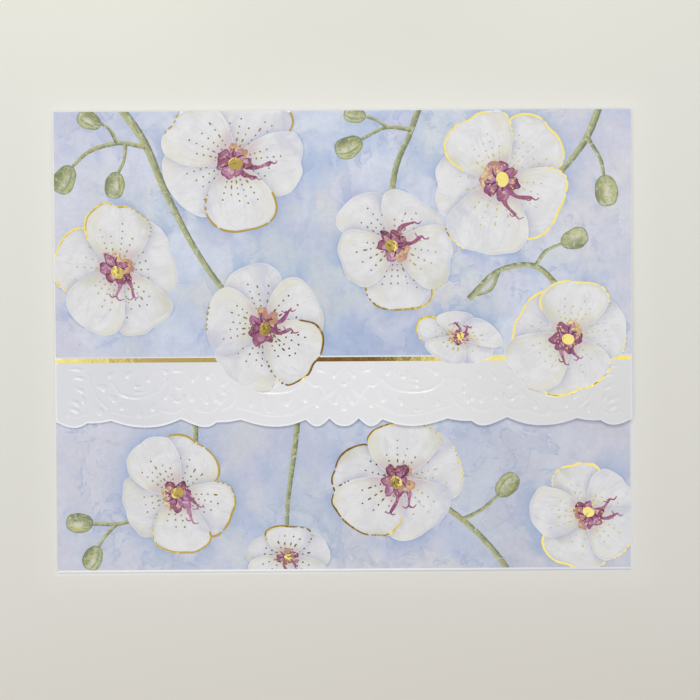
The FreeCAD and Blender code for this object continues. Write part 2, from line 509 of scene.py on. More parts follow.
def blossom(items, c, R, turn, squash, lean, seed, gold=(0, 2), lines=5, group=0, petals=5, tails=(-1.3, -1.9), warm=0.48):
    rng = np.random.default_rng(seed)
    fr = Frame2(c, turn, squash, lean)
    order = [0, 2, 4, 1, 3] if petals == 5 else list(range(petals))
    shapes = {}
    for i in range(petals):
        a = i * 2 * math.pi / petals + rng.normal(0, 0.07)
        L = R * rng.uniform(0.88, 1.04)
        Wd = R * rng.uniform(0.94, 1.20) * (5 / petals) ** 0.3
        shapes[i] = Petal(fr, a, L, Wd, rng.uniform(0.28, 0.48), rng.normal(0, 0.05), rng.uniform(0.0, 0.05),
                          rng.uniform(0.014, 0.026), rng, 0.03 * R)
    for j, i in enumerate(order):
        p = shapes[i]
        # the random number also says how warm the petal's shading is
        rnd = rng.uniform(0.5, 1.0) if rng.random() < warm else rng.uniform(0.0, 0.5)
        items.append(Item("petal", p.poly, p.local, rnd, level=0.085 + 0.022 * j, soft=0.45, big=True, cut=True, group=group))
        dashed = rng.uniform(0.15, 0.4)
        if i in gold:
            a0, a1 = rng.uniform(0.36, 0.55), rng.uniform(1.42, 1.62)
        elif rng.random() < 0.30:
            a0 = rng.uniform(0.55, 0.9)
            a1 = a0 + rng.uniform(0.18, 0.32)
            dashed = 0.9
        else:
            a0 = a1 = 0
        if a1 > a0:
            on = (p.th > a0 * math.pi) & (p.th < a1 * math.pi)
            if on.sum() > 5:
                foil_run(items, p.poly[on], rng.uniform(0.44, 0.52), rng, dashed, rng.random() < 0.5)
        # dotted veins in foil, in lanes from the heart towards the rim
        many = lines - int(rng.integers(0, 2))
        lanes = np.linspace(-0.66, 0.66, many) + rng.normal(0, 0.03, many)
        for a in lanes:
            bow = rng.normal(0, 0.05)
            end = rng.uniform(0.56, 0.80) - 0.14 * abs(a)
            tt = np.linspace(0.17 * p.L, end * p.L, 60)
            ww = (a * (0.50 + 0.50 * tt / p.L) + bow * (tt / p.L) ** 2) * p.half(tt)
            lane = p.place(np.column_stack([tt, ww]))
            d = np.r_[0, np.cumsum(np.linalg.norm(np.diff(lane, axis=0), axis=1))]
            s = 0.2 + rng.uniform(0, 0.5)
            while s < d[-1] - 0.2:
                f = s / d[-1]
                pos = np.array([np.interp(s, d, lane[:, 0]), np.interp(s, d, lane[:, 1])])
                nxt = np.array([np.interp(s + 0.2, d, lane[:, 0]), np.interp(s + 0.2, d, lane[:, 1])])
                t = nxt - pos
                dash = rng.random() < (0.32 if f < 0.4 else 0.10)
                ra = rng.uniform(0.36, 0.56) if dash else rng.uniform(0.20, 0.245)
                rb = rng.uniform(0.18, 0.22) if dash else ra * rng.uniform(0.88, 1.0)
                items.append(Item("foil", ellipse(pos, ra, rb, math.atan2(t[1], t[0]), 8 if dash else 7), None, -1.0))
                s += (1.12 + 0.62 * smooth(0.1, 0.8, f)) * rng.uniform(0.92, 1.08) * (1.2 if dash else 1.0)
    heart(items, fr, c, R, rng, tails)


def flap_xy(px, py):
    return ((px - 344.5) / 4.55, HALF_H - (py - 109.5) / 4.56)


def inner_xy(px, py):
    return ((px - 344.5) / 4.52, -HALF_H + (570.5 - py) / 4.52)


def flap_items():
    items = []
    rng = np.random.default_rng(11)
    # the foil rule runs under everything but the wash and the band
    y1, y0 = HALF_H - 54.35, HALF_H - 55.30
    n = 64
    xs = np.linspace(-HALF_W + 0.05, HALF_W - 0.35, n)
    top = np.column_stack([xs, np.full(n, y1)])
    low = np.column_stack([xs, np.full(n, y0)])
    items.append(Item("foil", np.vstack([low, top[::-1]]), None, 0.4, level=-0.02))
    P = flap_xy
    # stems and buds
    stem(items, [P(118, 100), P(146, 140), P(170, 196), P(205, 262), P(262, 338)], 1.5, 1.1, rng)
    stem(items, [P(148, 146), P(120, 142), P(92, 150), P(74, 166)], 1.0, 0.7, rng)
    stem(items, [P(120, 142), P(112, 128), P(100, 120)], 0.8, 0.6, rng)
    bud(items, P(67, 178), 6.6, 4.9, math.radians(-115), rng)
    bud(items, P(92, 119), 5.6, 4.0, math.radians(150), rng)
    stem(items, [P(128, 143), P(126, 160), P(120, 172)], 0.8, 0.6, rng)
    bud(items, P(117, 184), 5.9, 4.4, math.radians(-98), rng)
    stem(items, [P(424, 100), P(412, 134), P(396, 176), P(388, 262)], 1.3, 1.0, rng)
    stem(items, [P(414, 130), P(388, 128), P(362, 140)], 0.9, 0.6, rng)
    bud(items, P(351, 147), 6.4, 4.8, math.radians(-155), rng)
    stem(items, [P(390, 128), P(378, 120), P(366, 116)], 0.7, 0.6, rng)
    bud(items, P(357, 115), 4.9, 3.6, math.radians(172), rng)
    stem(items, [P(604, 100), P(588, 140), P(560, 176), P(530, 205)], 1.4, 1.1, rng)
    stem(items, [P(470, 300), P(500, 272), P(538, 268), P(565, 300), P(566, 336)], 1.2, 1.0, rng)
    stem(items, [P(500, 273), P(492, 290), P(478, 296)], 0.8, 0.6, rng)
    stem(items, [P(536, 268), P(548, 252), P(566, 244)], 0.8, 0.6, rng)
    bud(items, P(576, 240), 6.2, 4.6, math.radians(22), rng)
    stem(items, [P(590, 140), P(602, 160), P(606, 178)], 0.9, 0.6, rng)
    bud(items, P(608, 192), 6.9, 5.1, math.radians(-84), rng)
    # blossoms
    blossom(items, P(118, 268), 14.6, 0.35, 0.93, 0.4, 101, gold=(1, 2), group=1)
    blossom(items, P(236, 160), 15.6, 1.15, 0.95, 1.9, 102, gold=(0, 3), group=2)
    blossom(items, P(396, 246), 14.8, 2.25, 0.86, 0.8, 103, gold=(2,), group=3)
    blossom(items, P(501, 182), 16.2, 0.75, 0.94, 2.6, 104, gold=(0, 1, 4), group=4)
    blossom(items, P(460, 338), 9.0, 2.9, 0.66, 1.3, 105, gold=(0,), lines=4, group=5)
    blossom(items, P(264, 326), 15.0, 1.75, 0.90, 0.2, 106, gold=(3,), group=6)
    blossom(items, P(569, 338), 13.6, 0.15, 0.90, 2.2, 107, gold=(1, 2, 4), group=7)
    return items


def inner_items():
    items = []
    rng = np.random.default_rng(12)
    P = inner_xy
    stem(items, [P(190, 400), P(196, 440), P(176, 494)], 1.2, 1.0, rng)
    stem(items, [P(176, 494), P(128, 520), P(92, 522)], 1.0, 0.7, rng)
    stem(items, [P(118, 521), P(104, 536), P(98, 546)], 0.8, 0.6, rng)
    bud(items, P(80, 521), 6.0, 4.4, math.radians(178), rng)
    bud(items, P(93, 556), 5.6, 4.3, math.radians(-112), rng)
    stem(items, [P(400, 478), P(462, 520), P(500, 560), P(516, 590)], 1.3, 1.1, rng)
    stem(items, [P(462, 520), P(482, 510), P(498, 496)], 0.9, 0.6, rng)
    bud(items, P(507, 486), 6.2, 4.5, math.radians(48), rng)
    stem(items, [P(300, 400), P(296, 440), P(288, 500), P(286, 540)], 1.1, 0.9, rng)
    blossom(items, P(286, 556), 9.6, 0.3, 0.72, 1.5, 204, gold=(1,), lines=4, group=14)
    blossom(items, P(176, 494), 13.6, 0.95, 0.92, 0.6, 201, gold=(0, 3, 4), group=11)
    blossom(items, P(398, 480), 14.8, 0.2, 0.90, 2.0, 202, gold=(1, 2, 3), group=12)
    blossom(items, P(588, 516), 12.6, 1.9, 0.92, 1.0, 203, gold=(0, 2), group=13)
    for it in items:                       # plan y to the unrolled yu
        it.poly = np.column_stack([it.poly[:, 0], C_IN - it.poly[:, 1]])[::-1]
        if it.local is not None:
            it.local = (lambda f: lambda Q: f(np.column_stack([Q[:, 0], C_IN - Q[:, 1]])))(it.local)
        it.box = box_of(it.poly)
    return items


# ---- lace pressed into the white band -------------------------------------------
def lace():
    """Marks of the band: (kind, points in plan, widths, depth). One half is given, the other is its mirror."""
    marks = []

    def at(dx, py):
        # as measured from the middle of the card and from its top, in the front view's units
        return dx / 4.55, (py - 109.5) / 4.56

    def drop(dx0, py0, dx1, py1, w0=0.26, w1=0.62, h=0.20):
        marks.append(("drop", np.array([at(dx0, py0), at(dx1, py1)], float), (w0, w1), h))

    def line(pts, w=0.46, h=0.13):
        marks.append(("line", bezier([at(*p) for p in pts], 0.35), (w, w), h))

    def cup(dx, py, half, deep, h=0.19, w=0.72):
        # a petal-like hollow with a rounded lower end
        marks.append(("line", bezier([at(dx - half, py - deep), at(dx - half * 0.62, py - deep * 0.25), at(dx, py),
                                      at(dx + half * 0.62, py - deep * 0.25), at(dx + half, py - deep)], 0.35), (w, w), h))

    # the middle: a palmette over the point of the centre lobe
    drop(0, 396, 0, 408, 0.25, 0.62)
    drop(3, 392, 8, 402, 0.22, 0.52)
    drop(7, 389, 16, 395, 0.22, 0.50)
    cup(0, 385, 5, 4)
    drop(4, 371, 10, 376, 0.22, 0.44)
    line([(10, 404), (16, 399), (20, 391), (24, 386), (30, 386), (36, 381)], 0.42, 0.12)
    drop(26, 398, 27, 405, 0.22, 0.55)
    drop(19, 372, 25, 369, 0.22, 0.46)
    # the lobe next to it
    line([(17, 396), (31, 404), (46, 411), (56, 415), (76, 415), (91, 411), (106, 407)], 0.30, 0.09)
    line([(38, 379), (45, 386), (55, 391), (70, 392.5), (84, 391), (94, 386), (101, 379)], 0.44, 0.15)
    drop(37, 393, 39, 399, 0.26, 0.66)
    drop(52, 398, 57, 403, 0.26, 0.62)
    line([(78, 399), (79, 408), (76, 412), (71, 411)], 0.50, 0.16)
    drop(90, 399, 93, 404, 0.26, 0.66)
    cup(59, 378, 5, 5)
    drop(66, 384, 73, 386, 0.25, 0.48)
    drop(66, 379, 73, 380, 0.22, 0.42)
    drop(83, 368, 92, 373, 0.22, 0.55)
    drop(50, 368, 44, 373, 0.22, 0.50)
    line([(106, 378), (110, 386), (108, 396), (112, 404), (120, 409)], 0.46, 0.15)
    drop(118, 396, 124, 401, 0.25, 0.58)
    drop(115, 380, 121, 384, 0.25, 0.60)
    # the narrow lobe: leaves that spread from one point
    drop(131, 388, 128, 399, 0.24, 0.56)
    drop(146, 394, 137, 401, 0.24, 0.56)
    drop(139, 386, 138, 396, 0.22, 0.50)
    drop(125, 385, 120, 392, 0.22, 0.50)
    line([(126, 407), (133, 411), (143, 411), (150, 408)], 0.34, 0.10)
    drop(131, 371, 136, 376, 0.22, 0.52)
    drop(146, 372, 151, 379, 0.22, 0.50)
    # flower over the point between two lobes
    cup(166, 401, 6, 5, 0.21, 0.84)
    cup(164, 388, 4.5, 3, 0.17)
    drop(155, 391, 152, 398, 0.26, 0.55)
    drop(175, 389, 178, 396, 0.26, 0.55)
    drop(160, 371, 169, 369, 0.24, 0.56)
    line([(160, 407), (170, 412), (181, 411)], 0.34, 0.10)
    # the wide outer lobe
    line([(177, 380), (183, 387), (189, 392), (198, 396), (207, 397), (217, 396), (225, 392), (233, 381)], 0.46, 0.16)
    line([(180, 409), (193, 415), (207, 416), (220, 414), (232, 411)], 0.30, 0.09)
    drop(187, 400, 191, 407, 0.26, 0.68, 0.21)
    drop(204, 406, 205, 413, 0.26, 0.62)
    drop(220, 399, 222, 406, 0.26, 0.66)
    drop(201, 385, 208, 385.5, 0.26, 0.44)
    drop(201, 391, 208, 391.5, 0.24, 0.40)
    drop(207, 369, 216, 374, 0.24, 0.62, 0.21)
    drop(190, 372, 195, 379, 0.24, 0.52)
    drop(184, 368, 178, 371, 0.22, 0.50)
    # scroll beside the next point, with its drops
    line([(256, 374), (250, 392), (243, 402), (236, 408)], 0.46, 0.15)
    drop(250, 382, 240, 387, 0.26, 0.66, 0.22)
    drop(238, 393, 230, 398, 0.26, 0.64, 0.22)
    drop(252, 402, 244, 411, 0.26, 0.70, 0.21)
    drop(228, 371, 234, 374, 0.24, 0.54)
    # leaves at the outer end
    drop(279, 395, 266, 403, 0.26, 0.50)
    drop(279, 405, 267, 410, 0.26, 0.50)
    drop(265, 390, 261, 400, 0.24, 0.50)
    drop(272, 385, 262, 390, 0.24, 0.46)
    line([(258, 413), (268, 416), (279, 414)], 0.34, 0.10)
    drop(277, 367, 264, 368, 0.24, 0.42)
    drop(274, 375, 262, 377, 0.24, 0.42)
    out = []
    for kind, pts, w, h in marks:
        for side in (1, -1):
            p = np.column_stack([pts[:, 0] * side, HALF_H - pts[:, 1]])
            out.append((kind, p, w, h))
    return out


LACE = lace()


def below_line(line, P):
    """How far points lie below a line (towards -y), measured along the line's own normal."""
    n = normals_of(line)
    n = n * np.where(n[:, 1:2] > 0, -1.0, 1.0)
    k = ((P[:, None, :] - line[None]) ** 2).sum(2).argmin(1)
    return ((P - line[k]) * n[k]).sum(1)


def ramp(a, b, x):
    """Nearly straight rise from 0 at a to 1 at b, eased a little at both ends."""
    t = np.clip((x - a) / (b - a), 0, 1)
    return 0.70 * t + 0.30 * t * t * (3 - 2 * t)


def lace_height(P):
    """Depth of the lace marks. Each falls gently from its upper side and ends in a short wall at its lower side."""
    h = np.zeros(len(P))
    band = in_box(P, (-HALF_W, HALF_H - FLAP_LEN - 1, HALF_W, HALF_H - 55.4))
    if not len(band):
        return h
    Q = P[band]
    g = np.zeros(len(Q))
    for kind, pts, w, top in LACE:
        r = max(w)
        idx = in_box(Q, box_of(pts, r + 0.45))
        if not len(idx):
            continue
        q = Q[idx]
        if kind == "drop":
            a, b = pts[0], pts[1]
            d = b - a
            t = np.clip(((q - a) @ d) / max(d @ d, 1e-9), 0, 1)
            dist = np.linalg.norm(q - (a + t[:, None] * d), axis=1)
            rad = (w[0] + (w[1] - w[0]) * t) * 1.12 + 0.17
            # deepest along its lower side
            mid, ext = (a[1] + b[1]) / 2, abs(a[1] - b[1]) / 2 + 0.75 * max(w) + 0.08
            fall = smooth(-0.95, 0.35, (mid - q[:, 1]) / ext)
            v = ramp(0.0, 0.50, rad - dist) * top * (0.04 + 0.96 * fall) * (0.50 + 0.50 * smooth(0, 0.8, t))
        else:
            dist = line_distance(pts, q, False)
            s = below_line(pts, q)
            v = smooth(-0.66, 0.02, s) * (1 - ramp(0.0, 0.40, s)) * smooth(0.30, 0.02, dist - np.abs(s)) * top * 1.10
        g[idx] = np.maximum(g[idx], v)
    # the tool bit less towards the right
    h[band] = g * (1.0 - 0.17 * smooth(8, 44, Q[:, 0]))
    return h


# ---- relief ---------------------------------------------------------------------
def edge_distance(P):
    """Distance from the cut edges of the sheet (the fold isn't one)."""
    d = np.minimum(HALF_W - np.abs(P[:, 0]), YU_END - P[:, 1])
    near = np.nonzero(P[:, 1] < HALF_H - FLAP_LEN + 5.5)[0]
    if len(near):
        s = SCALLOP
        d[near] = np.minimum(d[near], line_distance(s, P[near], False))
    return np.maximum(d, 0.0)


SCALLOP = scallop_line()


def print_height(P, items, scale):
    h = np.zeros(len(P))
    for it in items:
        if not it.big or it.level <= 0:
            continue
        idx = in_box(P, (it.box[0] - 0.1, it.box[1] - 0.1, it.box[2] + 0.1, it.box[3] + 0.1))
        if not len(idx):
            continue
        q = P[idx]
        ins = inside(it.poly, q)
        idx, q = idx[ins], q[ins]
        if not len(idx):
            continue
        d = line_distance(it.poly, q)
        v = it.level * smooth(0.0, it.soft, d)
        if it.mat == "petal":
            v = it.level * smooth(0.0, 0.9, d)
            # the petal swells a little, with shallow flutes along its veins
            u, w = it.local(q)
            flute = 0.012 * np.cos(w * 15 + 6 * it.rnd) * smooth(0.1, 0.5, u) * smooth(1.0, 0.6, u) * smooth(0.3, 1.2, d)
            v = v + 0.030 * smooth(0.3, 4.0, d) + flute
        if it.mat == "magenta":
            v = v + 0.01
        h[idx] = np.maximum(h[idx], v)
    return h * scale


def height_a(P, items):
    """The emboss is pressed into the front: its hollows go down from the sheet's plain surface."""
    y = P[:, 1]
    h = -print_height(P, items, 0.24)
    on = h >= -1e-6
    if on.any():
        h[on] = -lace_height(P[on])
    flapzone = y < YU_TOP
    d = edge_distance(P)
    h = h * smooth(0.2, 1.3, d) * smooth(YU_TOP - Q0 - 0.1, YU_TOP - Q0 - 1.6, y)
    # a soft wave over the flap, which keeps inside the room left for it
    free = smooth(HALF_H - 4, HALF_H - 66, y)
    wave = 0.016 * np.sin(P[:, 0] / 19.0 + 0.6) + 0.010 * np.sin(P[:, 0] / 8.5 + y / 30.0)
    h = h + wave * free
    # the long sides, rounded a little by the cut
    drop = 0.04 * np.clip(1 - d / 0.20, 0, 1) ** 2 * (y > HALF_H - 60)
    return np.where(flapzone, h - drop, -0.05 * np.clip(1 - d / 0.25, 0, 1) ** 2 * (y > YU_REAR))


def height_b(P, items):
    inner = P[:, 1] > YU_REAR
    h = np.zeros(len(P))
    if inner.any():
        h[inner] = -print_height(P[inner], items, 0.30)
    d = edge_distance(P)
    h = np.where(inner, h * smooth(0.1, 1.0, d), 0.0)
    return h


# ---- triangulation -----------------------------------------------------------------
def hex_grid(x0, y0, x1, y1, s, phase=0.0):
    ys = np.arange(y0 + 0.5 * s, y1, s * 0.866)
    out = []
    for k, y in enumerate(ys):
        xs = np.arange(x0 + (0.25 + 0.5 * (k % 2)) * s + phase, x1, s)
        out.append(np.column_stack([xs, np.full(len(xs), y)]))
    return np.vstack(out) if out else np.zeros((0, 2))


def rings(poly, offsets, step):
    n = normals_of(poly, True)
    mid = poly.mean(0)
    # outward is the side that leaves the polygon
    test = inside(poly, poly[::7] + n[::7] * 0.05)
    if test.mean() > 0.5:
        n = -n
    out = []
    for o in offsets:
        line = resample(np.vstack([poly + n * o, poly[:1] + n[:1] * o]), step)
        out.append(line)
    return np.vstack(out)


def build_face(items, extra_lines, zones, rings_for):
    """Constrained triangulation of one face of the sheet. zones are hex grids of points; extra_lines are fixed lines."""
    pts = [OUTLINE]
    edges = [(np.arange(len(OUTLINE)), np.roll(np.arange(len(OUTLINE)), -1))]
    base = len(OUTLINE)
    for ln in extra_lines:
        pts.append(ln)
        k = np.arange(len(ln) - 1) + base
        edges.append((k, k + 1))
        base += len(ln)
    keep_items = []
    for i, it in enumerate(items):
        poly = it.poly
        a, b = poly, np.roll(poly, -1, axis=0)
        mid = (a + b) / 2
        hidden = np.zeros(len(poly), bool)
        for up in items[i + 1:]:
            if not up.cut:
                continue
            if up.box[0] > it.box[2] or up.box[2] < it.box[0] or up.box[1] > it.box[3] or up.box[3] < it.box[1]:
                continue
            if not it.big and not inside(up.poly, poly[:1])[0] and len(poly) < 14:
                continue
            ins = inside(up.poly, np.vstack([mid, a]))
            hidden |= ins[:len(mid)] & ins[len(mid):] & np.roll(ins[len(mid):], -1)
            if not it.big and len(poly) < 14:
                hidden[:] = True
        keep_items.append(not hidden.all())
        use = ~hidden
        if not use.any():
            continue
        used = use | np.roll(use, 1)
        number = np.cumsum(used) - 1
        pts.append(poly[used])
        k = np.nonzero(use)[0]
        edges.append((number[k] + base, number[(k + 1) % len(poly)] + base))
        base += int(used.sum())
    fixed = np.vstack(pts)
    free = []
    for it in rings_for:
        free.append(rings(it.poly, (-0.22, -0.45, -0.75, 0.22), 0.55))
    free += zones
    free = np.vstack(free) if free else np.zeros((0, 2))
    # drop free points that crowd a fixed point or leave the sheet
    ok = inside(OUTLINE, free)
    free = free[ok]
    free = free[edge_distance(free) > 0.06]
    cell = 0.17
    taken = set(map(tuple, np.floor(fixed / cell).astype(int)))
    key = np.floor(free / cell).astype(int)
    good = np.ones(len(free), bool)
    seen = set()
    for n, (i, j) in enumerate(key):
        if (i, j) in taken or (i, j) in seen:
            good[n] = False
        else:
            seen.add((i, j))
    free = free[good]
    allp = np.vstack([fixed, free])
    ea = np.concatenate([e[0] for e in edges])
    eb = np.concatenate([e[1] for e in edges])
    out = delaunay_2d_cdt([Vector(p) for p in allp], list(zip(ea.tolist(), eb.tolist())), [], 0, 1e-5, False)
    V = np.array([tuple(v) for v in out[0]])
    F = np.array([f for f in out[2] if len(f) == 3], int)
    c = V[F].mean(1)
    area = np.abs(np.cross(V[F[:, 1]] - V[F[:, 0]], V[F[:, 2]] - V[F[:, 0]])) / 2
    F = F[inside(OUTLINE, c) | (area < 1e-7)]
    # counter-clockwise
    a = np.cross(V[F[:, 1]] - V[F[:, 0]], V[F[:, 2]] - V[F[:, 0]])
    F[a < 0] = F[a < 0][:, ::-1]
    used = np.unique(F)
    renum = np.full(len(V), -1)
    renum[used] = np.arange(len(used))
    V, F = V[used], renum[F]
    C = V[F].mean(1)
    # the topmost item over each triangle
    owner = np.full(len(F), -1)
    for i in range(len(items) - 1, -1, -1):
        if not keep_items[i]:
            continue
        it = items[i]
        idx = in_box(C, it.box)
        idx = idx[owner[idx] < 0]
        if len(idx):
            ins = inside(it.poly, C[idx])
            owner[idx[ins]] = i
    return V, F, owner


def boundary_loop(V, F):
    """The vertices round the sheet, in order, with how far round each is."""
    e = np.vstack([F[:, [0, 1]], F[:, [1, 2]], F[:, [2, 0]]])
    key = {tuple(x) for x in e.tolist()}
    nxt = {a: b for a, b in key if (b, a) not in key}
    corner = np.array([-HALF_W, float(edge_y(-HALF_W))])
    start = min(nxt, key=lambda i: np.hypot(*(V[i] - corner)))
    loop = [start]
    while True:
        n = nxt[loop[-1]]
        if n == start:
            break
        loop.append(n)
        if len(loop) > len(nxt) + 2:
            raise RuntimeError("the sheet's outline is broken")
    if len(loop) != len(nxt):
        raise RuntimeError("the sheet's outline has more than one loop")
    P = V[loop]
    s = np.r_[0, np.cumsum(np.linalg.norm(np.diff(np.vstack([P, P[:1]]), axis=0), axis=1))]
    return np.array(loop), s[:-1] / s[-1]


# ---- make the two faces --------------------------------------------------------------
items_a = flap_items()
items_b = inner_items()

fold_lines = [np.column_stack([np.linspace(-HALF_W, HALF_W, 86), np.full(86, y)]) for y in FOLD_ROWS]
yu_print = float(FOLD_ROWS[3])            # the front print ends where the fold turns down; the crease shows bare stock in the bright edge colour, a painted highlight against the shade on the turned fold
rule_top = HALF_H - 54.02                 # the wash stops a little above the foil rule
lines_a = list(fold_lines)
lines_a.append(np.column_stack([np.linspace(-HALF_W, HALF_W, 200), np.full(200, rule_top)]))
side_a = np.linspace(rule_top, FOLD_ROWS[3], 60)
lines_a.append(np.column_stack([np.full(60, -HALF_W + 0.16), side_a]))
lines_a.append(np.column_stack([np.full(60, HALF_W - 0.14), side_a]))

IN_LOW = C_IN - (-HALF_H)                  # yu of the back panel's free edge, YU_END
band_split = C_IN - (-8.0)                 # printed strip of the inner face, up to here
lines_b = list(fold_lines)
xs = np.linspace(-HALF_W + 0.16, HALF_W - 0.26, 150)
lines_b.append(np.column_stack([xs, np.full(150, YU_END - 0.44)]))
ys = np.linspace(YU_REAR + 0.5, YU_END - 0.44, 110)
lines_b.append(np.column_stack([np.full(110, -HALF_W + 0.16), ys]))
lines_b.append(np.column_stack([np.full(110, HALF_W - 0.26), ys]))
lines_b.append(np.column_stack([np.linspace(-HALF_W, HALF_W, 128), np.full(128, band_split)]))


def near_items(P, items, reach):
    """Nearness to the big printed shapes, 1 at their outline and 0 at reach."""
    near = np.full(len(P), 1e3)
    for it in items:
        if not it.big or it.mat not in ("petal", "bud", "stem"):
            continue
        idx = in_box(P, (it.box[0] - reach, it.box[1] - reach, it.box[2] + reach, it.box[3] + reach))
        if len(idx):
            d = line_distance(it.poly, P[idx])
            d = d + (2.5 if it.mat != "petal" else 0.0)
            near[idx] = np.minimum(near[idx], d)
    return near


def choose(P, size, s, ratio=1.0):
    """Points of one grid where the wanted size calls for this grid."""
    return P[(size >= s * 0.99) & (size < s * ratio)]


petals_a = [it for it in items_a if it.mat in ("petal", "bud")]
petals_b = [it for it in items_b if it.mat in ("petal", "bud")]

g = []
band_lo, band_hi = HALF_H - FLAP_LEN - 0.2, HALF_H - 55.3
fine = hex_grid(-HALF_W, band_lo, HALF_W, band_hi, 0.27)
coarse = hex_grid(-HALF_W, band_lo, HALF_W, band_hi, 0.95)
mark_d = np.full(len(fine), 9.0)
for kind, p, w, h in LACE:
    idx = in_box(fine, box_of(p, max(w) + 0.5))
    if len(idx):
        mark_d[idx] = np.minimum(mark_d[idx], line_distance(p, fine[idx], False) - max(w))
g.append(fine[mark_d < 0.40])
g.append(coarse)
sc = scallop_line()
for o in (0.12, 0.26, 0.42, 0.7):
    n = normals_of(sc)
    n = n * np.sign(n[:, 1:2])
    g.append(resample(sc + n * o, 0.34))
wash1 = hex_grid(-HALF_W, band_hi, HALF_W, FOLD_ROWS[0] - 0.2, 1.15)
g.append(wash1)
g.append(hex_grid(-HALF_W, FOLD_ROWS[-1] + 0.5, HALF_W, YU_END, 4.0))
for o in (0.12, 0.26, 0.42):
    ysf = np.linspace(float(edge_y(HALF_W)) + 0.4, FOLD_ROWS[0], 150)
    g.append(np.column_stack([np.full(150, HALF_W - o), ysf]))
    g.append(np.column_stack([np.full(150, -HALF_W + o), ysf]))

VA, FA, OA = build_face(items_a, lines_a, g, petals_a)

g = []
strip_lo, strip_hi = C_IN - (-17.0), YU_END
g.append(hex_grid(-HALF_W, strip_lo, HALF_W, strip_hi, 1.1))
g.append(hex_grid(-HALF_W, FOLD_ROWS[-1] + 0.5, HALF_W, strip_lo, 3.2))
g.append(hex_grid(-HALF_W, HALF_H - FLAP_LEN, HALF_W, FOLD_ROWS[0] - 0.5, 3.2))
for o in (0.12, 0.26):
    ysf = np.linspace(strip_lo, YU_END - o, 90)
    g.append(np.column_stack([np.full(90, HALF_W - o), ysf]))
    g.append(np.column_stack([np.full(90, -HALF_W + o), ysf]))
    xsf = np.linspace(-HALF_W + 0.4, HALF_W - 0.4, 300)
    g.append(np.column_stack([xsf, np.full(300, YU_END - o)]))
VB, FB, OB = build_face(items_b, lines_b, g, petals_b)

# material of each triangle
CA = VA[FA].mean(1)
matA = np.full(len(FA), M_ID["stock"])
front = CA[:, 1] < yu_print
# the crease takes the bright edge colour: bare stock, brightened as a painted highlight on the turned fold
crease_painted_highlight = (CA[:, 1] >= yu_print) & (CA[:, 1] < FOLD_ROWS[8])
matA[crease_painted_highlight] = M_ID["edge"]
matA[front] = M_ID["wash"]
matA[front & (CA[:, 1] < rule_top)] = M_ID["band"]
has = (OA >= 0) & front
names = np.array([M_ID[it.mat] for it in items_a])
matA[has] = names[OA[has]]
matA[(matA == M_ID["foil"]) & (CA[:, 1] > FOLD_ROWS[0] - 0.12)] = M_ID["edge"]
margin = front & (CA[:, 1] > rule_top) & ((CA[:, 0] < -HALF_W + 0.16) | (CA[:, 0] > HALF_W - 0.14))
dA = edge_distance(CA)
# a thin rim along the band's cut edges takes the bright edge colour: bare stock plus a painted highlight standing in
# for the light on the pressed rim
lip_painted_highlight = front & (CA[:, 1] < rule_top) & (dA < 0.40)
matA[margin | lip_painted_highlight] = M_ID["edge"]
OA[margin | lip_painted_highlight | ~front] = -1

CB = VB[FB].mean(1)
matB = np.full(len(FB), M_ID["stock"])
inner = CB[:, 1] > YU_REAR
matB[inner] = M_ID["wash"]
has = (OB >= 0) & inner
names = np.array([M_ID[it.mat] for it in items_b])
matB[has] = names[OB[has]]
margin = inner & ((CB[:, 0] > HALF_W - 0.26) | (CB[:, 1] > YU_END - 0.44))
matB[margin] = M_ID["edge"]
OB[margin | ~inner] = -1


def shape_face(V, items, which):
    """Points and normals of one face with its relief."""
    f = height_a if which == "A" else height_b
    e = 0.05
    h = f(V, items)
    hx = (f(V + (e, 0), items) - f(V - (e, 0), items)) / (2 * e)
    hy = (f(V + (0, e), items) - f(V - (0, e), items)) / (2 * e)
    lim = 1.2
    hx, hy = np.clip(hx, -lim, lim), np.clip(hy, -lim, lim)
    P, E, N = surface(V[:, 0], V[:, 1])
    if which == "A":
        pos = P + N * h[:, None]
        nor = N - hx[:, None] * np.array([1.0, 0, 0]) - hy[:, None] * E
    else:
        pos = P - N * (SHEET_T + h)[:, None]
        nor = -N - hx[:, None] * np.array([1.0, 0, 0]) - hy[:, None] * E
    return pos, nor / np.linalg.norm(nor, axis=1, keepdims=True), h


def corner_data(V, F, owner, items):
    """The coordinates that the print's materials read, one value per corner of each triangle."""
    n = len(F)
    pr, pa, rn = np.zeros((n, 3)), np.zeros((n, 3)), np.full((n, 3), 0.5)
    pe, ps = np.full((n, 3), 9.0), np.zeros((n, 3))
    dw = np.clip(near_items(V, items, 9.0), 0, 12.0)[F]
    for i, it in enumerate(items):
        tri = np.nonzero(owner == i)[0]
        if not len(tri):
            continue
        Q = V[F[tri].ravel()]
        rn[tri] = it.rnd
        if it.local is not None:
            u, w = it.local(Q)
            pr[tri] = u.reshape(-1, 3)
            pa[tri] = w.reshape(-1, 3)
        if it.big:
            pe[tri] = line_distance(it.poly, Q).reshape(-1, 3)
        if it.mat == "petal":
            sh = np.zeros(len(Q))
            for up in items[i + 1:]:
                if not up.cut or up.box[0] > it.box[2] + 2 or up.box[2] < it.box[0] - 2 or up.box[1] > it.box[3] + 2 or up.box[3] < it.box[1] - 2:
                    continue
                idx = in_box(Q, (up.box[0] - 3, up.box[1] - 3, up.box[2] + 3, up.box[3] + 3))
                if len(idx):
                    d = line_distance(up.poly, Q[idx])
                    sh[idx] = np.maximum(sh[idx], np.exp(-d / 0.8))
            ps[tri] = sh.reshape(-1, 3)
    return {"pr": pr, "pa": pa, "rn": rn, "pe": pe, "ps": ps, "dw": dw}


PA, NA, HA = shape_face(VA, items_a, "A")
PB, NB, HB = shape_face(VB, items_b, "B")
dataA = corner_data(VA, FA, OA, items_a)
dataB = corner_data(VB, FB, OB, items_b)

